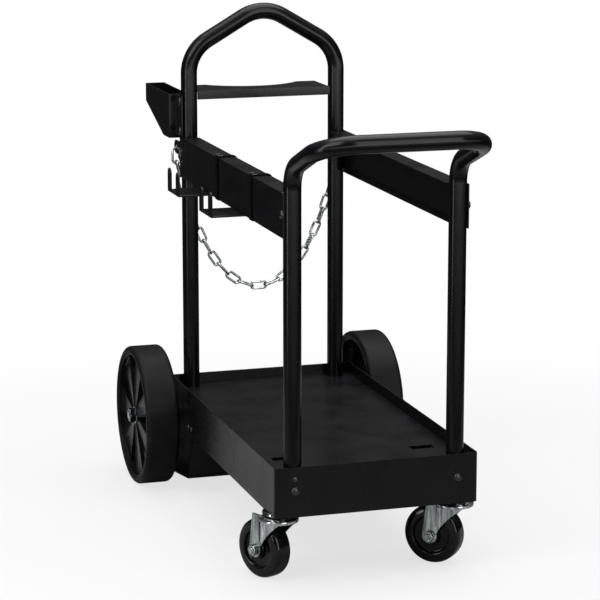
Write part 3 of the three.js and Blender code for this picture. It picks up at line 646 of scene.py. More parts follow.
@dataclass(frozen=True)
class Moulded(Finish):
    """A moulded black part, with the grain of its mould and a dull bloom in clouds.

    Polypropylene gives the eye a satin black with broad highlights, a cast phenolic
    caster wheel a deeper black with tight ones, and rubber a dry, slightly grey black.
    Black passivated zinc is mixed the same way: its dark film hides the metal.
    """

    name: str
    colour: str
    bloom: str
    gloss: Span
    grain_mm: float
    grain_strength: float
    level: float = 0.5
    grain_depth: float = 0.4
    cloud_mm: float = 38.0
    cloud_detail: float = 4.0
    bloomed: Span = (0.4, 0.75)

    def mix(self, graph: Graph) -> None:
        """Mixes grain and bloom.

        Args:
            graph: The tree, with only its output.
        """
        where = graph.where()
        cloud = graph.noise(where, self.cloud_mm, self.cloud_detail)
        grain = graph.noise(where, self.grain_mm)
        graph.surface(
            graph.blend(graph.ramp(cloud, self.bloomed), self.colour, self.bloom),
            graph.ramp(cloud, NOISE_SPAN, *self.gloss),
            graph.relief(grain, self.grain_strength, self.grain_depth),
            self.level,
        )


@dataclass(frozen=True)
class SinteredBronze(Finish):
    """Pressed and sintered bronze, oil soaked: a dull brown metal with painted shade in its open pores."""

    name: str = "sintered_bronze"
    metal: str = "#8f6f47"
    # painted shade: the colour down in the pores
    pore: str = "#4a3826"
    roughness: float = 0.48
    pore_mm: float = 0.7
    pore_strength: float = 0.3
    pore_depth: float = 0.2

    def mix(self, graph: Graph) -> None:
        """Mixes metal and pores, with painted shade in the pores.

        Args:
            graph: The tree, with only its output.
        """
        cells = graph.add("TexVoronoi", {"Vector": graph.where(), "Scale": per_mm(self.pore_mm)})
        pores = cells.outputs["Distance"]
        graph.surface(
            graph.blend(pores, self.pore, self.metal),
            self.roughness,
            graph.relief(pores, self.pore_strength, self.pore_depth),
        )


@dataclass(frozen=True)
class WovenWebbing(Finish):
    """Black polyester webbing, plain woven: a matt cloth with ribs across the strap."""

    name: str = "woven_webbing"
    # The weave is painted darker in its hollows (painted shade) and lighter on its crowns (painted highlight).
    yarn: str = "#040405"
    crown: str = "#0a0a0b"
    roughness: float = 0.9
    level: float = 0.05
    rib_mm: float = 1.8  # real picks are near 1 mm; drawn coarser so that they show
    rib_strength: float = 0.6
    rib_depth: float = 0.4
    unevenness: float = 0.4
    bands: float = 20.0  # wave bands in one unit of the texture's scale

    def mix(self, graph: Graph) -> None:
        """Crosses the ribs of warp and weft, with painted shade in the hollows of the weave and painted
        highlight on its crowns.

        Args:
            graph: The tree, with only its output.
        """
        scale = per_mm(self.rib_mm) / self.bands
        waves = {"Vector": graph.where(), "Scale": scale, "Distortion": self.unevenness}
        ribs = [graph.add("TexWave", waves, bands_direction=way).outputs["Fac"] for way in ("Y", "Z")]
        weave = graph.math("MULTIPLY", *ribs)
        graph.surface(
            # Painted shade in the hollows of the weave, painted highlight on its crowns.
            graph.blend(weave, self.yarn, self.crown),
            self.roughness,
            graph.relief(weave, self.rib_strength, self.rib_depth),
            self.level,
        )


@dataclass(frozen=True)
class StudioFloor(Finish):
    """Matt white painted floor, even and pale, which keeps the cart's soft shadow.

    What the cart mirrors of it is flagged off away from the wheels, so that black paint
    stays black, and grows bright again far ahead of the cart. Spans are in metres.
    """

    name: str = "white_studio_paint"
    paint: str = "#c9c9ca"
    patch: str = "#cccccc"
    patch_mm: float = 900.0
    shown: str = "#6c6c6d"
    lift: float = 0.72
    whitening: Span = (0.6, 1.5)
    flagged: Span = (1.0, 1.7)
    flagged_least: float = 0.45
    flagged_ahead: Span = (-0.75, -1.15)
    sheen: Span = (-1.3, -1.9)
    sheen_light: Span = (0.03, 0.66)
    distance: Span = (-4.2, -7.0)
    distant_light: float = 6.0

    def mix(self, graph: Graph) -> None:
        """Mixes the floor that the camera sees and the one that the cart mirrors.

        Args:
            graph: The tree, with only its output.
        """
        where = graph.where()
        rays = graph.add("LightPath").outputs
        seen, glossy = rays["Is Camera Ray"], rays["Is Glossy Ray"]
        away = graph.add("VectorMath", {0: where}, operation="LENGTH").outputs["Value"]
        along = graph.add("SeparateXYZ", {0: where}).outputs["Y"]

        paint = graph.blend(graph.noise(where, self.patch_mm), self.paint, self.patch)
        matt = graph.add("BsdfDiffuse", {"Color": graph.blend(seen, paint, self.shown)}).outputs[0]
        lifted = graph.emit(graph.math("MULTIPLY", seen, self.lift))
        near = graph.add("AddShader", {0: matt, 1: lifted}).outputs[0]
        white = graph.math("MULTIPLY", graph.ramp(away, self.whitening, smooth=True), seen)
        floor = graph.add("MixShader", {0: white, 1: near, 2: graph.emit(1.0)}).outputs[0]

        sheen = graph.ramp(along, self.sheen, *self.sheen_light)
        gleam = graph.math("ADD", sheen, graph.ramp(along, self.distance, high=self.distant_light))
        around = graph.ramp(away, self.flagged, low=self.flagged_least)
        flagged = graph.math("MAXIMUM", around, graph.ramp(along, self.flagged_ahead))
        share = graph.math("MULTIPLY", flagged, glossy)
        graph.end(graph.add("MixShader", {0: share, 1: floor, 2: graph.emit(gleam)}).outputs[0])


class Rack:
    """Holds the finishes and fits each piece to the body and slot of the node it stands for."""

    def __init__(self) -> None:
        """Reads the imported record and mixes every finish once."""
        record = frame["record"]
        bodies = record["behaviour"]["bodies"]
        self.body = {node: name for name, nodes in bodies.items() for node in nodes}
        self.slot = {part["node"]: Slot(part["material_slot"]) for part in record["subparts"]}
        black_zinc = Moulded(
            "black_zinc_plate", "#0c0c0e", "#1a1a1c",
            gloss=(0.16, 0.26), grain_mm=1.2, grain_strength=0.05,
        )
        polypropylene = Moulded(
            "moulded_polypropylene", "#08080a", "#0f0f11",
            gloss=(0.22, 0.3), grain_mm=1.1, grain_strength=0.1, level=0.13,
        )
        rubber = Moulded(
            "solid_rubber", "#0b0b0c", "#121213",
            gloss=(0.42, 0.52), grain_mm=1.4, grain_strength=0.2, level=0.09,
        )
        phenolic = Moulded(
            "cast_phenolic", "#060607", "#0c0c0e",
            gloss=(0.07, 0.12), grain_mm=2.0, grain_strength=0.03, level=0.26,
        )
        self.finish = {
            Slot.POWDER: PowderCoat().material(),
            Slot.ZINC: Zinc().material(),
            Slot.BLACK_ZINC: black_zinc.material(),
            Slot.POLYMER: polypropylene.material(),
            Slot.RUBBER: rubber.material(),
            Slot.BRONZE: SinteredBronze().material(),
            Slot.WEBBING: WovenWebbing().material(),
        }
        self.satin = PowderCoat("satin_powder_coated_steel", gloss=(0.24, 0.31), level=0.17).material()
        # A darker copy of the zinc plate for the axle nuts: painted shade on the nuts, which also dims their
        # reflection in the spokes.
        self.dull_zinc = Zinc("dull_zinc_plate", light="#5c6061", blue="#34393a").material()
        self.phenolic = phenolic.material()
        self.replaced: set[str] = set()

    def fit(
        self, piece: bpy.types.Object, *nodes: str, finish: Optional[bpy.types.Material] = None
    ) -> None:
        """Lets a finished piece stand for CAD nodes.

        Args:
            piece: The finished piece.
            nodes: The nodes it replaces, all on one body.
            finish: A finish other than the slot's own.
        """
        slot = self.slot[nodes[0]]
        self.add(piece, self.body[nodes[0]], slot, finish)
        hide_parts(*nodes)
        self.replaced.update(nodes)

    def add(
        self, piece: bpy.types.Object, body: str, slot: Slot, finish: Optional[bpy.types.Material] = None
    ) -> None:
        """Adds a finished piece to a body.

        Args:
            piece: The finished piece.
            body: The body it moves with.
            slot: The record's slot that it takes its finish from.
            finish: A finish other than the slot's own.
        """
        piece.data.materials.clear()
        piece.data.materials.append(finish or self.finish[slot])
        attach(piece, body)
        LOG.info("%s on %s, %d faces", piece.name, body, len(piece.data.polygons))

    def dress_rest(self) -> None:
        """Gives every CAD node that still shows the finish of its slot."""
        for name, node in frame["nodes"].items():
            if name in self.replaced:
                continue
            node.data.materials.clear()
            node.data.materials.append(self.finish[self.slot[name]])
            LOG.info("%s keeps its solid", name)


# ---------------------------------------------------------------- sub-assemblies


@dataclass
class Tray:
    """The folded tray: skirt, deck and the channel over the casters."""

    skirt_edge: float = 0.95
    sheet_edge: float = 0.5

    def build(self, rack: Rack) -> None:
        """Builds the tray's sheets.

        Args:
            rack: The finishes and bodies.
        """
        rack.fit(eased_copy("base_frame", self.skirt_edge), "base_frame", finish=rack.satin)
        for node in ("deck_plate", "caster_channel"):
            rack.fit(eased_copy(node, self.sheet_edge), node)


@dataclass
class Hoops:
    """The push hoop at the front and the pointed hoop at the rear, bent from round tube."""

    tube: float = 28.6
    post_x: float = 135.3
    foot: float = 130.0
    front_y: float = -259.2
    rear_y: float = 360.4
    bend_z: float = 666.4
    reach: float = 147.0
    rise: float = 55.9
    bend_r: float = 46.0
    corner_r: float = 58.0
    shoulder_z: float = 781.0
    apex_z: float = 860.0
    shoulder_r: float = 68.0
    apex_r: float = 71.5

    def build(self, rack: Rack) -> None:
        """Bends both hoops.

        Args:
            rack: The finishes and bodies.
        """
        x, radius = self.post_x, self.tube / 2 * MM
        grip_y, grip_z = self.front_y - self.reach, self.bend_z + self.rise
        front = bend_tube(
            "push_hoop",
            place(-x, self.front_y, self.foot),
            [
                Bend(place(-x, self.front_y, self.bend_z), self.bend_r * MM),
                Bend(place(-x, grip_y, grip_z), self.corner_r * MM, steps=16),
                Bend(place(x, grip_y, grip_z), self.corner_r * MM, steps=16),
                Bend(place(x, self.front_y, self.bend_z), self.bend_r * MM),
            ],
            place(x, self.front_y, self.foot),
            radius,
        )
        rear = bend_tube(
            "rear_hoop_tube",
            place(-x, self.rear_y, self.foot),
            [
                Bend(place(-x, self.rear_y, self.shoulder_z), self.shoulder_r * MM),
                Bend(place(0, self.rear_y, self.apex_z), self.apex_r * MM, steps=14),
                Bend(place(x, self.rear_y, self.shoulder_z), self.shoulder_r * MM),
            ],
            place(x, self.rear_y, self.foot),
            radius,
        )
        for piece, node in ((front, "front_hoop"), (rear, "rear_hoop")):
            shade(piece, SHARP_TUBE)
            rack.fit(piece, node)


@dataclass
class Sheets:
    """The pressed sheet parts that hang on the hoops and the tray."""

    edges: tuple[tuple[str, float], ...] = (
        ("rail_left", 0.8),
        ("rail_right", 0.8),
        ("cable_hook_front", 0.9),
        ("cable_hook_rear", 0.9),
        ("torch_pocket", 0.7),
        ("cylinder_cradle", 0.7),
        ("cylinder_platform", 0.7),
    )

    def build(self, rack: Rack) -> None:
        """Finishes each sheet part with its edges rounded."""
        for node, width in self.edges:
            rack.fit(eased_copy(node, width), node)


@dataclass
class Straps:
    """Two webbing loops round the left rail, each with a wire slide on its top edge."""

    centres: tuple[float, float] = (-88.0, 117.0)
    width: float = 14.0
    thickness: float = 1.5
    low: tuple[float, float] = (-153.0, 558.9)
    high: tuple[float, float] = (-119.8, 632.1)
    corner: float = 2.6
    edge: float = 0.4
    slide_bar: float = 2.0
    slide_bend: float = 2.0
    slide_length: float = 9.0
    slide_inset: float = 1.0
    slide_lap: float = 2.2
    slide_lift: float = 0.9

    def loop(self, name: str) -> bpy.types.Object:
        """Folds one loop of webbing about the middle of its width.

        Args:
            name: The loop's name.

        Returns:
            The loop, with its width along Y about zero.
        """
        (x0, z0), (x1, z1) = self.low, self.high
        corners = [Vector(c) * MM for c in ((x0, 0, z0), (x1, 0, z0), (x1, 0, z1), (x0, 0, z1))]
        band = draw_line(name, corners + corners[:1])
        bpy.ops.mesh.select_all(action="SELECT")
        bpy.ops.mesh.remove_doubles(threshold=TINY)
        bpy.ops.transform.translate(value=(0, -self.width / 2 * MM, 0))
        bpy.ops.mesh.bevel(offset=self.corner * MM, segments=5, affect="VERTICES")
        bpy.ops.mesh.select_all(action="SELECT")
        bpy.ops.mesh.extrude_region_move(TRANSFORM_OT_translate={"value": (0, self.width * MM, 0)})
        close_shell()
        wall = band.modifiers.new("webbing_thickness", "SOLIDIFY")
        wall.thickness = self.thickness * MM
        wall.offset = 0
        bpy.ops.object.modifier_apply(modifier=wall.name)
        ease_edges(band, self.edge)
        shade(band)
        return band

    def slide(self, name: str) -> bpy.types.Object:
        """Bends the wire slide that holds the loop's end, about the middle of the strap.

        Args:
            name: The slide's name.

        Returns:
            The slide, lying on the loop's top edge.
        """
        half, bar = self.width / 2 + self.slide_lap, self.slide_bar / 2
        x0, z = self.low[0] + self.slide_inset, self.high[1] + bar + self.slide_lift
        x1 = x0 + self.slide_length
        corners = ((x0, half, z), (x1, half, z), (x1, -half, z), (x0, -half, z))
        bends = [Bend(Vector(corner) * MM, self.slide_bend * MM, steps=5) for corner in corners]
        middle = Vector((x0, 0, z)) * MM
        wire = bend_tube(name, middle, bends, middle, bar * MM, sides=12, loop=True)
        shade(wire, SHARP_WIRE)
        return wire

    def build(self, rack: Rack) -> None:
        """Puts both straps on the rail.

        Args:
            rack: The finishes and bodies.
        """
        loop, slide = self.loop("strap_pattern"), self.slide("slide_pattern")
        for end, y in zip(("front", "rear"), self.centres):
            spot = Matrix.Translation(place(0, y, 0))
            rack.fit(copy_to(loop, f"rail_strap_{end}_webbing", spot), f"rail_strap_{end}")
            rack.add(copy_to(slide, f"rail_strap_{end}_slide", spot), "frame", Slot.BLACK_ZINC)
        scrap(loop)
        scrap(slide)


@dataclass
class DomeBolt:
    """A dome-head bolt on a thin flange, drawn along +X from its seat."""

    radius: float
    height: float
    seat_gap: float = 0.15
    flange: float = 0.24  # share of the height
    flange_side: float = 0.8  # share of the flange that stands upright
    flange_top: float = 0.97  # share of the radius, and so below
    dome: float = 0.93
    dome_steps: int = 6

    def pattern(self, name: str) -> bpy.types.Object:
        """Turns one bolt head.

        Args:
            name: The pattern's name.

        Returns:
            The head, with its seat at the origin.
        """
        r, flange = self.radius, self.flange * self.height
        profile = [
            (0.0, self.seat_gap), (r, self.seat_gap),
            (r, flange * self.flange_side), (r * self.flange_top, flange),
        ]
        for step in range(self.dome_steps + 1):
            angle = math.pi / 2 * step / self.dome_steps
            reach = self.dome * r * math.cos(angle) if step < self.dome_steps else 0.0
            profile.append((reach, flange + (self.height - flange) * math.sin(angle)))
        head = turn_ring(name, profile, steps=32)
        shade(head, SHARP_TURNED)
        return head


@dataclass
class Fasteners:
    """Every dome-head bolt that shows on the cart."""

    large: DomeBolt
    small: DomeBolt
    front_wall: float = -275.8
    skirt: float = 169.1
    rail: float = 151.9
    post_x: float = 135.3
    post_z: float = 160.0
    screw_z: float = 179.0
    posts_y: tuple[float, float] = (-259.2, 360.4)
    rail_z: float = 597.0
    pocket_z: tuple[float, float] = (642.0, 694.0)
    platform_y: tuple[float, float] = (236.0, 255.0)
    platform_z: float = 132.0

    def build(self, rack: Rack) -> None:
        """Sets each bolt on its seat.

        Args:
            rack: The finishes and bodies.
        """
        large, small = self.large.pattern("bolt_pattern"), self.small.pattern("screw_pattern")
        forward = Matrix.Rotation(-math.pi / 2, 4, "Z")
        seats = [
            ("front_post_bolt_left", large, (-self.post_x, self.front_wall, self.post_z), forward),
            ("front_post_bolt_right", large, (self.post_x, self.front_wall, self.post_z), forward),
            ("deck_screw_front_left", small, (-self.post_x, self.front_wall, self.screw_z), forward),
        ]
        for level, z in zip(("lower", "upper"), self.pocket_z):
            spot = (-self.rail, self.posts_y[1], z)
            seats.append((f"pocket_bolt_{level}", large, spot, Side.LEFT.outward))
        for side in Side:
            for end, rail_y, platform_y in zip(("front", "rear"), self.posts_y, self.platform_y):
                rail_seat = (side.value * self.rail, rail_y, self.rail_z)
                platform_seat = (side.value * self.skirt, platform_y, self.platform_z)
                seats.append((f"rail_bolt_{side.word}_{end}", large, rail_seat, side.outward))
                seats.append((f"platform_bolt_{side.word}_{end}", small, platform_seat, side.outward))
        for node, pattern, seat, facing in seats:
            head = copy_to(pattern, f"{node}_head", Matrix.Translation(place(*seat)) @ facing)
            rack.fit(head, node)
        scrap(large)
        scrap(small)


@dataclass
class RearWheel:
    """A rear wheel: moulded core with dished spokes and a solid tyre, drawn outboard to +X."""

    side: Side
    mid_x: float = 209.5
    axle_y: float = 394.0
    radius: float = 124.5
    tyre_width: float = 60.0
    tread_line: float = 6.0
    shoulder: float = 8.0
    bead: Outline = ((0.0, 2.0), (0.8, 0.7), (2.0, 0.0))  # out from the rim, and in from the tyre's side
    rim: float = 112.0
    rim_width: float = 55.0
    rim_wall: float = 5.0
    rim_lip: float = 2.4
    rim_flare: Outline = ((2.6, 7.0), (1.0, 14.0), (0.0, 17.0))  # out from the bore, and in from the side
    spokes: int = 7
    spoke_root: float = 8.0
    spoke_tip: float = 25.0
    spoke_thickness: float = 8.0
    spoke_in_hub: float = 6.0
    spoke_in_rim: float = 1.5
    spoke_border: float = 3.2
    spoke_hollow: float = 2.2
    spoke_edge: float = 0.9
    spoke_offset: float = 21.0
    dish: float = 0.03
    phase: float = math.pi / 2
    hub: float = 21.0
    hub_inboard: float = 25.5
    hub_outboard: float = 22.0
    hub_chamfer: float = 1.0
    hub_round: float = 1.2
    hub_land: float = 4.0
    hub_slope: float = 4.8
    hub_recess: float = 1.6
    bore: float = 10.6
    axle: float = 8.0
    washer: float = 15.0
    washer_thickness: float = 2.0
    washer_edge: float = 0.4
    spacer: float = 11.5
    spacer_x: float = 167.1
    nut_edge: float = 0.9

    @property
    def spot(self) -> Matrix:
        """The place of the wheel's middle in the frame, turned outboard."""
        middle = place(self.side.value * self.mid_x, self.axle_y, self.radius)
        return Matrix.Translation(middle) @ self.side.outward

    def tyre(self) -> bpy.types.Object:
        """Turns the tyre, with rounded shoulders and a bead line on each side.

        Returns:
            The tyre about the origin.
        """
        half, r = self.tyre_width / 2, self.shoulder
        bead = [(self.rim + out, half - into) for out, into in self.bead]
        arc = [
            (self.radius - r + r * math.sin(a), half - r + r * math.cos(a))
            for a in (math.pi / 2 * k / 8 for k in range(1, 9))
        ]
        profile = mirrored([*bead, *arc, (self.radius, self.tread_line)])
        ring = turn_ring(f"rear_wheel_{self.side.word}_tread", profile, steps=112)
        shade(ring, SHARP_WHEEL)
        return ring

    def spoke(self) -> bpy.types.Object:
        """Shapes one spoke: a tapered blade, hollowed outboard, with rounded edges.

        Returns:
            The spoke, pointing up from the origin.
        """
        root, tip = self.hub - self.spoke_in_hub, self.rim - self.rim_wall + self.spoke_in_rim
        corners = (
            (-self.spoke_root, root), (self.spoke_root, root), (self.spoke_tip, tip), (-self.spoke_tip, tip),
        )
        blade = cut_plate(
            "spoke_pattern",
            [Vector((-self.spoke_thickness / 2, y, z)) * MM for y, z in corners],
            Vector((self.spoke_thickness * MM, 0, 0)),
        )
        edit(blade)
        select_faces(blade, lambda face: face.normal.x > FACING)
        bpy.ops.mesh.inset(thickness=self.spoke_border * MM, depth=-self.spoke_hollow * MM)
        bpy.ops.object.mode_set(mode="OBJECT")
        ease_edges(blade, self.spoke_edge, segments=3)
        lean = Matrix.Rotation(-self.dish, 4, "Y")
        return move_in(blade, Matrix.Translation((self.spoke_offset * MM, 0, 0)) @ lean)

    def core(self) -> bpy.types.Object:
        """Joins rim, hub and spokes.

        Returns:
            The core about the origin.
        """
        half = self.rim_width / 2
        out = self.rim - CLEARANCE
        bore = out - self.rim_wall
        r = self.rim_lip / 2
        lip = [
            (out - r + r * math.cos(a), half - r + r * math.sin(a))
            for a in (math.pi * k / 8 for k in range(9))
        ]
        flare = [(bore + rise, half - into) for rise, into in self.rim_flare]
        rim = turn_ring("rim_pattern", mirrored(lip + flare), steps=112)
        hub, inboard, outboard = self.hub, -self.hub_inboard, self.hub_outboard
        profile = [
            (self.bore, inboard), (hub - self.hub_chamfer, inboard), (hub, inboard + self.hub_chamfer),
            (hub, outboard - self.hub_round), (hub - self.hub_round, outboard),
            (hub - self.hub_land, outboard), (hub - self.hub_slope, outboard - self.hub_recess),
            (self.bore, outboard - self.hub_recess),
        ]
        boss = turn_ring("hub_pattern", profile, steps=56)
        pattern = self.spoke()
        blades = [
            copy_to(pattern, "spoke", Matrix.Rotation(self.phase + math.tau * i / self.spokes, 4, "X"))
            for i in range(self.spokes)
        ]
        scrap(pattern)
        core = weld(f"rear_wheel_{self.side.word}_moulding", rim, boss, *blades)
        shade(core, SHARP_WHEEL)
        return core

    def hardware(self) -> list[tuple[bpy.types.Object, str]]:
        """Turns the spacer and washer of this end of the axle.

        Returns:
            Each piece about the wheel's middle, and the node it stands for.
        """
        word, bore = self.side.word, self.axle + CLEARANCE
        r, edge, seat = self.washer, self.washer_edge, self.hub_outboard + CLEARANCE
        top = seat + self.washer_thickness
        inner, outer = self.spacer_x - self.mid_x, -self.hub_inboard - CLEARANCE
        washer = turn_ring(
            f"axle_{word}_plain_washer",
            [(bore, seat), (r - edge, seat), (r, seat + edge), (r, top - edge), (r - edge, top), (bore, top)],
            steps=48,
        )
        spacer = turn_ring(
            f"axle_{word}_spacer_tube",
            [(bore, inner), (self.spacer, inner), (self.spacer, outer), (bore, outer)],
            steps=40,
        )
        return [(washer, f"axle_washer_{word}"), (spacer, f"axle_spacer_{word}")]

    def build(self, rack: Rack) -> None:
        """Builds the wheel and the pieces beside it on the axle.

        Args:
            rack: The finishes and bodies.
        """
        word = self.side.word
        rack.fit(move_in(self.tyre(), self.spot), f"rear_wheel_{word}_tyre")
        rack.fit(move_in(self.core(), self.spot), f"rear_wheel_{word}_core")
        for piece, node in self.hardware():
            shade(piece)
            rack.fit(move_in(piece, self.spot), node)
        nut = f"axle_nut_{word}"
        # The axle nut wears the darker copy of the zinc plate: painted shade.
        rack.fit(eased_copy(nut, self.nut_edge, segments=3), nut, finish=rack.dull_zinc)


@dataclass
class Axle:
    """The through axle: a plated bar with chamfered ends."""

    radius: float = 8.0
    half_length: float = 245.2
    chamfer: float = 1.4
    y: float = 394.0
    z: float = 124.5

    def build(self, rack: Rack) -> None:
        """Turns the axle.

        Args:
            rack: The finishes and bodies.
        """
        end, r, c = self.half_length, self.radius, self.chamfer
        profile = [(0, -end), (r - c, -end), (r, -end + c), (r, end - c), (r - c, end), (0, end)]
        bar = turn_ring("axle_bar", profile, steps=40)
        shade(bar)
        rack.fit(move_in(bar, Matrix.Translation(place(0, self.y, self.z))), "axle")


@dataclass
class Caster:
    """A swivel caster: pressed plated fork, ball race rings and a hard black wheel."""

    side: Side
    turn: float
    x: float = 148.0
    y: float = -227.0
    trail: float = 34.0
    wheel: float = 48.5
    wheel_width: float = 34.0
    wheel_face: Outline = (  # radius, and depth under the wheel's side
        (5.3, 0.0), (14.4, 0.0), (15.2, 0.8), (16.6, 5.8), (17.8, 6.6), (28.2, 6.6),
        (29.6, 5.9), (31.2, 1.5), (32.2, 0.6), (34.0, 0.3), (38.5, 0.5), (41.5, 1.4),
    )
    tread_line: float = 2.4
    tread_steps: int = 14
    king: float = 6.3
    crown: float = 32.0
    crown_top: float = 108.6
    crown_under: float = 99.6
    crown_lower: Outline = (  # in from the crown's rim, and up from its underside
        (9.0, 1.5), (7.4, 0.2), (6.6, 0.0), (1.8, 0.0), (0.5, 0.5), (0.0, 1.8),
    )
    crown_upper: Outline = (  # in from the crown's rim, and down from its top
        (0.0, 4.6), (0.6, 3.6), (1.8, 3.2), (4.2, 2.6), (6.0, 0.6), (7.2, 0.0),
    )
    gap: float = 38.0
    sheet: float = 3.0
    leg_front: float = 23.0
    leg_rear: float = 5.0
    leg_edge: float = 0.8
    belly: float = 21.6
    belly_at: float = 0.25  # share of the trail
    eye: float = 13.0
    eye_start: float = 0.89  # half turns, and so below
    eye_sweep: float = 1.15
    curve_steps: int = 20
    flutes_y: tuple[float, float] = (17.5, 9.5)  # ahead of the wheel's axle
    flute: float = 2.6
    flute_lean: float = 1.0
    flute_margin: float = 3.0
    flute_sink: float = 0.3
    flute_thickness: float = 2.3
    flute_edge: float = 1.6
    hex_edge: float = 0.8
    top_plate: Outline = (  # radius and height, and so below
        (25.0, 114.7), (25.6, 112.7), (26.4, 112.7), (27.0, 113.2), (26.2, 116.4), (25.4, 117.2),
    )
    race: Outline = (
        (20.0, 108.9), (22.6, 109.7), (23.8, 111.0), (24.0, 112.4), (24.0, 114.0), (23.6, 114.4),
    )
    rivet: Outline = (
        (0.0, 94.3), (8.6, 94.3), (9.7, 95.2), (10.0, 96.6), (10.0, 99.3), (6.0, 99.3), (6.0, 127.4),
        (5.0, 128.5), (0.0, 128.5),
    )

    @property
    def seat(self) -> Matrix:
        """The place of the swivel axis on the ground."""
        return Matrix.Translation(place(self.side.value * self.x, self.y, 0))

    @property
    def swivel(self) -> Matrix:
        """The seat, turned as the caster stands."""
        return self.seat @ Matrix.Rotation(math.radians(self.turn), 4, "Z")

    def front_edge(self) -> list[tuple[float, float]]:
        """Draws the leg's hollow front edge, from the crown down to the eye.

        Returns:
            Its points along the trail and up.
        """
        angle = math.pi * self.eye_start
        start = (-self.leg_front, self.crown_under)
        lean = (self.trail * self.belly_at, self.crown_under - self.belly)
        end = (self.trail + self.eye * math.cos(angle), self.wheel + self.eye * math.sin(angle))
        return [
            tuple((1 - t) ** 2 * start[i] + 2 * t * (1 - t) * lean[i] + t * t * end[i] for i in (0, 1))
            for t in (k / self.curve_steps for k in range(self.curve_steps + 1))
        ]

    def leg_outline(self) -> list[tuple[float, float]]:
        """Draws the fin-shaped leg.

        Returns:
            Its corners along the trail and up.
        """
        steps = range(1, self.curve_steps + 1)
        round_eye = [
            (self.trail + self.eye * math.cos(a), self.wheel + self.eye * math.sin(a))
            for a in (math.pi * (self.eye_start + self.eye_sweep * k / self.curve_steps) for k in steps)
        ]
        top = self.crown_top
        return [(-self.leg_front, top), *self.front_edge(), *round_eye, (self.trail + self.leg_rear, top)]

    def flutes(self) -> list[list[tuple[float, float]]]:
        """Draws the two upright flutes that are pressed out of a leg's outer face.

        Returns:
            The outline of each along the trail and up.
        """
        low, top = self.wheel + self.eye + self.flute_margin, self.crown_top - self.flute_margin
        half, lean = self.flute, self.flute_lean
        return [
            [(y - half, low), (y + half, low), (y + half - lean, top), (y - half - lean, top)]
            for y in (self.trail - ahead for ahead in self.flutes_y)
        ]

    def fork(self) -> bpy.types.Object:
        """Joins the dished crown and the pressed legs.

        Returns:
            The fork about its swivel axis.
        """
        top, under, r = self.crown_top, self.crown_under, self.crown
        profile = [
            (self.king, under + self.crown_lower[0][1]),
            *((r - inset, under + rise) for inset, rise in self.crown_lower),
            *((r - inset, top - drop) for inset, drop in self.crown_upper),
            (self.king, top),
        ]
        crown = turn_ring("crown", profile, steps=64)
        parts = [move_in(crown, UPRIGHT)]
        inner, outer = self.gap / 2, self.gap / 2 + self.sheet
        shapes = [(self.leg_outline(), inner, self.sheet, self.leg_edge)]
        for outline in self.flutes():
            shapes.append((outline, outer - self.flute_sink, self.flute_thickness, self.flute_edge))
        for sign in (-1, 1):
            for outline, station, thickness, edge in shapes:
                points = [Vector((sign * station, y, z)) * MM for y, z in outline]
                plate = cut_plate("leg", points, Vector((sign * thickness * MM, 0, 0)))
                ease_edges(plate, edge, segments=3)
                parts.append(plate)
        fork = weld(f"caster_{self.side.word}_pressed_fork", *parts)
        shade(fork)
        return fork

    def roller(self) -> bpy.types.Object:
        """Turns the hard wheel, crowned on its tread, with a raised ring on each side.

        Returns:
            The wheel about its axle.
        """
        half, r = self.wheel_width / 2, self.wheel
        face = [(radius, half - depth) for radius, depth in self.wheel_face]
        edge_r, edge = face[-1]
        tread = [
            (edge_r + (r - edge_r) * math.sin(a), edge * math.cos(a) ** 0.5)
            for a in (math.pi / 2 * k / self.tread_steps for k in range(1, self.tread_steps))
        ]
        profile = mirrored([*face, *tread, (r, self.tread_line)])
        wheel = turn_ring(f"caster_{self.side.word}_hard_wheel", profile, steps=72)
        shade(wheel, SHARP_TURNED)
        return wheel

    def rings(self) -> list[tuple[bpy.types.Object, str]]:
        """Turns the pressed top, the race ring and the kingpin.

        Returns:
            Each ring about the swivel axis, drawn along +Z, and the node it stands for.
        """
        word = self.side.word
        top, race = (
            [(self.king, ring[0][1]), *ring, (self.king, ring[-1][1])] for ring in (self.top_plate, self.race)
        )
        drawn = (
            ("pressed_top", "top", top, 56),
            ("race_ring", "race", race, 56),
            ("king_rivet", "kingpin", self.rivet, 40),
        )
        return [
            (move_in(turn_ring(f"caster_{word}_{name}", profile, steps), UPRIGHT), f"caster_{word}_{node}")
            for name, node, profile, steps in drawn
        ]

    def build(self, rack: Rack) -> None:
        """Builds the caster.

        Args:
            rack: The finishes and bodies.
        """
        word = self.side.word
        hub = self.swivel @ Matrix.Translation(Vector((0, self.trail, self.wheel)) * MM)
        rack.fit(move_in(self.fork(), self.swivel), f"caster_{word}_fork")
        rack.fit(move_in(self.roller(), hub), f"caster_{word}_wheel", finish=rack.phenolic)
        for piece, node in self.rings():
            shade(piece)
            rack.fit(move_in(piece, self.seat), node)
        for node in (f"caster_{word}_axle", f"caster_{word}_nut"):
            rack.fit(eased_copy(node, self.hex_edge, segments=3), node)


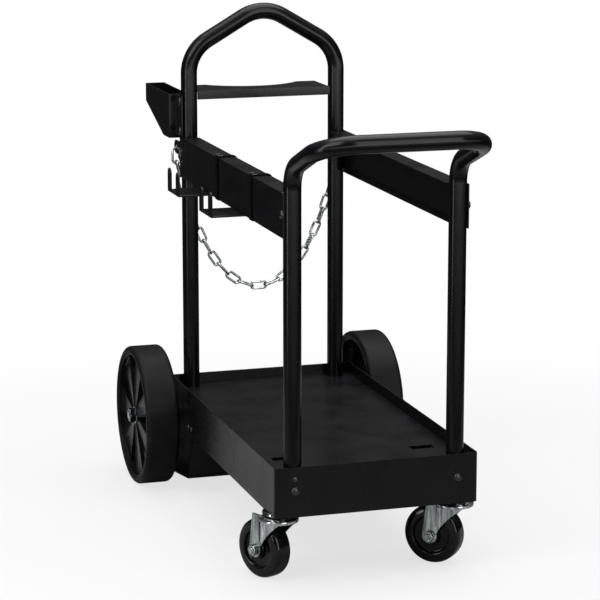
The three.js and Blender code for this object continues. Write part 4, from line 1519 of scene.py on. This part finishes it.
@dataclass
class SafetyChain:
    """Welded oval links on the curve of a hanging chain, between two oval hooks."""

    links: int = 23
    wire: float = 4.4
    gap: float = 7.6
    pitch: float = 24.5
    bite: float = 1.1
    hook_gap: float = 10.0
    hook_length: float = 24.0
    roundness: float = 0.999  # share of a link's width that its bends take up
    end_x: float = 150.9
    y: float = 393.0
    hook_top: float = 607.7
    curves: Span = (20.0, 400.0)  # the range in which the curve's parameter is sought
    trials: int = 60

    def link(self, name: str, gap: float, inside: float) -> bpy.types.Object:
        """Bends one oval link in the X-Z plane, its long way up.

        Args:
            name: The link's name.
            gap: The clear width inside it.
            inside: The clear length inside it.

        Returns:
            The link about its middle.
        """
        bend, half = (gap + self.wire) / 2, inside / 2 + self.wire / 2
        corners = ((bend, half), (-bend, half), (-bend, -half), (bend, -half))
        bends = [Bend(Vector((x, 0, z)) * MM, bend * MM * self.roundness, steps=5) for x, z in corners]
        middle = Vector((bend, 0, 0)) * MM
        oval = bend_tube(name, middle, bends, middle, self.wire / 2 * MM, sides=12, loop=True)
        shade(oval, SHARP_WIRE)
        return oval

    def catenary(self, length: float) -> float:
        """Finds the curve of a chain of a given length between its ends.

        Args:
            length: The chain's length in millimetres.

        Returns:
            The curve's parameter.
        """
        low, high = self.curves
        for _ in range(self.trials):
            a = (low + high) / 2
            low, high = (a, high) if 2 * a * math.sinh(self.end_x / a) > length else (low, a)
        return low

    def build(self, rack: Rack) -> None:
        """Hangs the links and the hooks.

        Args:
            rack: The finishes and bodies.
        """
        step = self.pitch + self.bite
        a = self.catenary(self.links * step - self.bite + self.wire)
        drop = self.hook_length + self.wire
        end_z = self.hook_top - drop + self.wire + CLEARANCE
        pattern = self.link("link_pattern", self.gap, self.pitch)
        hung = []
        for number in range(self.links):
            s = (number - (self.links - 1) / 2) * step
            x = a * math.asinh(s / a)
            z = end_z + a * (math.cosh(x / a) - math.cosh(self.end_x / a))
            quarter = Matrix.Rotation(math.pi / 2 if number % 2 == 0 else 0, 4, "Z")
            lean = Matrix.Rotation(math.pi / 2 - math.atan(s / a), 4, "Y")
            hung.append(copy_to(pattern, "link", Matrix.Translation(place(x, self.y, z)) @ lean @ quarter))
        scrap(pattern)
        rack.fit(weld("safety_chain_links", *hung), "safety_chain")
        hook = self.link("hook_pattern", self.hook_gap, self.hook_length)
        for side in Side:
            spot = Matrix.Translation(place(side.value * self.end_x, self.y, self.hook_top - drop / 2))
            rack.fit(copy_to(hook, f"chain_hook_{side.word}_link", spot), f"chain_hook_{side.word}")
        scrap(hook)


# ---------------------------------------------------------------- studio


@dataclass(frozen=True)
class Softbox:
    """One soft lamp, square or a strip, aimed at a point of the frame."""

    name: str
    spot: Triple
    size: tuple[float, float]
    power: float
    aim: Triple = (0.0, 0.0, 0.4)
    in_mirrors: bool = True

    def hang(self) -> None:
        """Hangs the lamp."""
        put_down()
        bpy.ops.object.light_add(type="AREA", location=self.spot)
        lamp = bpy.context.object
        lamp.name = self.name
        lamp.data.shape = "RECTANGLE"
        lamp.data.size, lamp.data.size_y = self.size
        lamp.data.energy = self.power
        lamp.visible_camera = False
        lamp.visible_glossy = self.in_mirrors
        lamp.rotation_euler = (Vector(self.aim) - Vector(self.spot)).to_track_quat("-Z", "Y").to_euler()


@dataclass(frozen=True)
class Studio:
    """Pale floor, plain soft light and the camera."""

    eye: Triple = (-1.230, -3.941, 1.257)
    yaw: float = 17.165
    pitch: float = -11.97
    lens: float = 149.02
    sensor: float = 36.0
    floor: float = 26.0
    floor_inset: float = 0.6  # share of the floor's radius
    floor_drop: float = 0.0003
    lamps: tuple[Softbox, ...] = (
        Softbox("key_softbox", spot=(-2.4, -1.6, 2.9), size=(2.3, 2.3), power=90),
        Softbox("top_softbox", spot=(0.3, 0.2, 3.2), size=(3.0, 3.0), power=120),
        Softbox("fill_softbox", spot=(2.8, -2.2, 1.8), size=(1.6, 1.6), power=30, in_mirrors=False),
        Softbox("strip_softbox", spot=(-2.1, -0.75, 1.0), size=(0.3, 2.0), power=16, aim=(0.0, 0.0, 1.0)),
    )
    sky: float = 0.3
    dome: Span = (0.3, 0.9)
    dome_light: Span = (0.05, 0.7)
    panel: Triple = (0.29, -0.957, 0.0)  # toward a tall bright panel that the push bar mirrors
    panel_light: float = 4.4
    panel_side: Span = (0.25, 0.15)  # where the panel is dark and bright across the view, and so below
    panel_top: Span = (0.8, 0.5)
    panel_front: Span = (0.0, 0.3)

    def lay_floor(self) -> None:
        """Lays the floor just under the wheels."""
        put_down()
        bpy.ops.mesh.primitive_circle_add(vertices=96, radius=self.floor, fill_type="NGON")
        floor = bpy.context.object
        floor.name = "studio_floor"
        edit(floor)
        bpy.ops.mesh.inset(thickness=self.floor * self.floor_inset)
        bpy.ops.transform.translate(value=(0, 0, -self.floor_drop))
        bpy.ops.mesh.select_all(action="SELECT")
        bpy.ops.mesh.normals_make_consistent(inside=False)
        bpy.ops.object.mode_set(mode="OBJECT")
        floor.data.materials.append(StudioFloor().material())

    def light_room(self) -> None:
        """Lights the room: white to the camera, even on matt faces, a dome and a panel in mirrors."""
        world = bpy.data.worlds.new("studio")
        bpy.context.scene.world = world
        world.use_nodes = True
        graph = Graph(world.node_tree, "OutputWorld")
        rays = graph.add("LightPath").outputs
        glossy = rays["Is Glossy Ray"]
        shown = graph.math("MAXIMUM", rays["Is Camera Ray"], glossy)
        clear = graph.math("MAXIMUM", shown, rays["Is Transmission Ray"])
        view = graph.add("TexCoord").outputs["Generated"]
        height = graph.add("SeparateXYZ", {0: view}).outputs["Z"]
        ahead, aside = (
            graph.add("VectorMath", {0: view, 1: way}, operation="DOT_PRODUCT").outputs["Value"]
            for way in (self.panel, (-self.panel[1], self.panel[0], 0.0))
        )
        offset = graph.math("ABSOLUTE", aside)
        panel: Term = self.panel_light
        for value, span in ((offset, self.panel_side), (height, self.panel_top), (ahead, self.panel_front)):
            panel = graph.math("MULTIPLY", graph.ramp(value, span, smooth=True), panel)
        room = graph.math("MAXIMUM", graph.ramp(height, self.dome, *self.dome_light), panel)
        mirrored_room = graph.add("Mix", {0: glossy, 2: 1.0, 3: room}).outputs[0]
        strength = graph.ramp(clear, (0.0, 1.0), self.sky, mirrored_room)
        graph.end(graph.add("Background", {"Color": WHITE, "Strength": strength}).outputs[0])

    def aim_camera(self) -> None:
        """Sets the camera at the photograph's viewing angle."""
        put_down()
        turn = (math.pi / 2 + math.radians(self.pitch), 0, -math.radians(self.yaw))
        bpy.ops.object.camera_add(location=self.eye, rotation=turn)
        camera = bpy.context.object
        camera.data.lens = self.lens
        camera.data.sensor_width = self.sensor
        bpy.context.scene.camera = camera

    def build(self) -> None:
        """Builds the studio."""
        self.lay_floor()
        for lamp in self.lamps:
            lamp.hang()
        self.light_room()
        self.aim_camera()
        bpy.context.scene.view_settings.view_transform = "Standard"


def main() -> None:
    """Builds the cart's sub-assemblies in order, then the studio."""
    logging.basicConfig(level=logging.INFO, format="%(name)s: %(message)s")
    rack = Rack()
    parts = [
        Tray(),
        Hoops(),
        Sheets(),
        Straps(),
        Fasteners(large=DomeBolt(radius=7.0, height=4.2), small=DomeBolt(radius=4.6, height=2.6)),
        Axle(),
        *(RearWheel(side) for side in Side),
        Caster(Side.LEFT, turn=25.5),
        Caster(Side.RIGHT, turn=46.0),
        SafetyChain(),
    ]
    for part in parts:
        LOG.info("building %s", type(part).__name__)
        part.build(rack)
    rack.dress_rest()
    Studio().build()


if __name__ == "__main__":
    main()
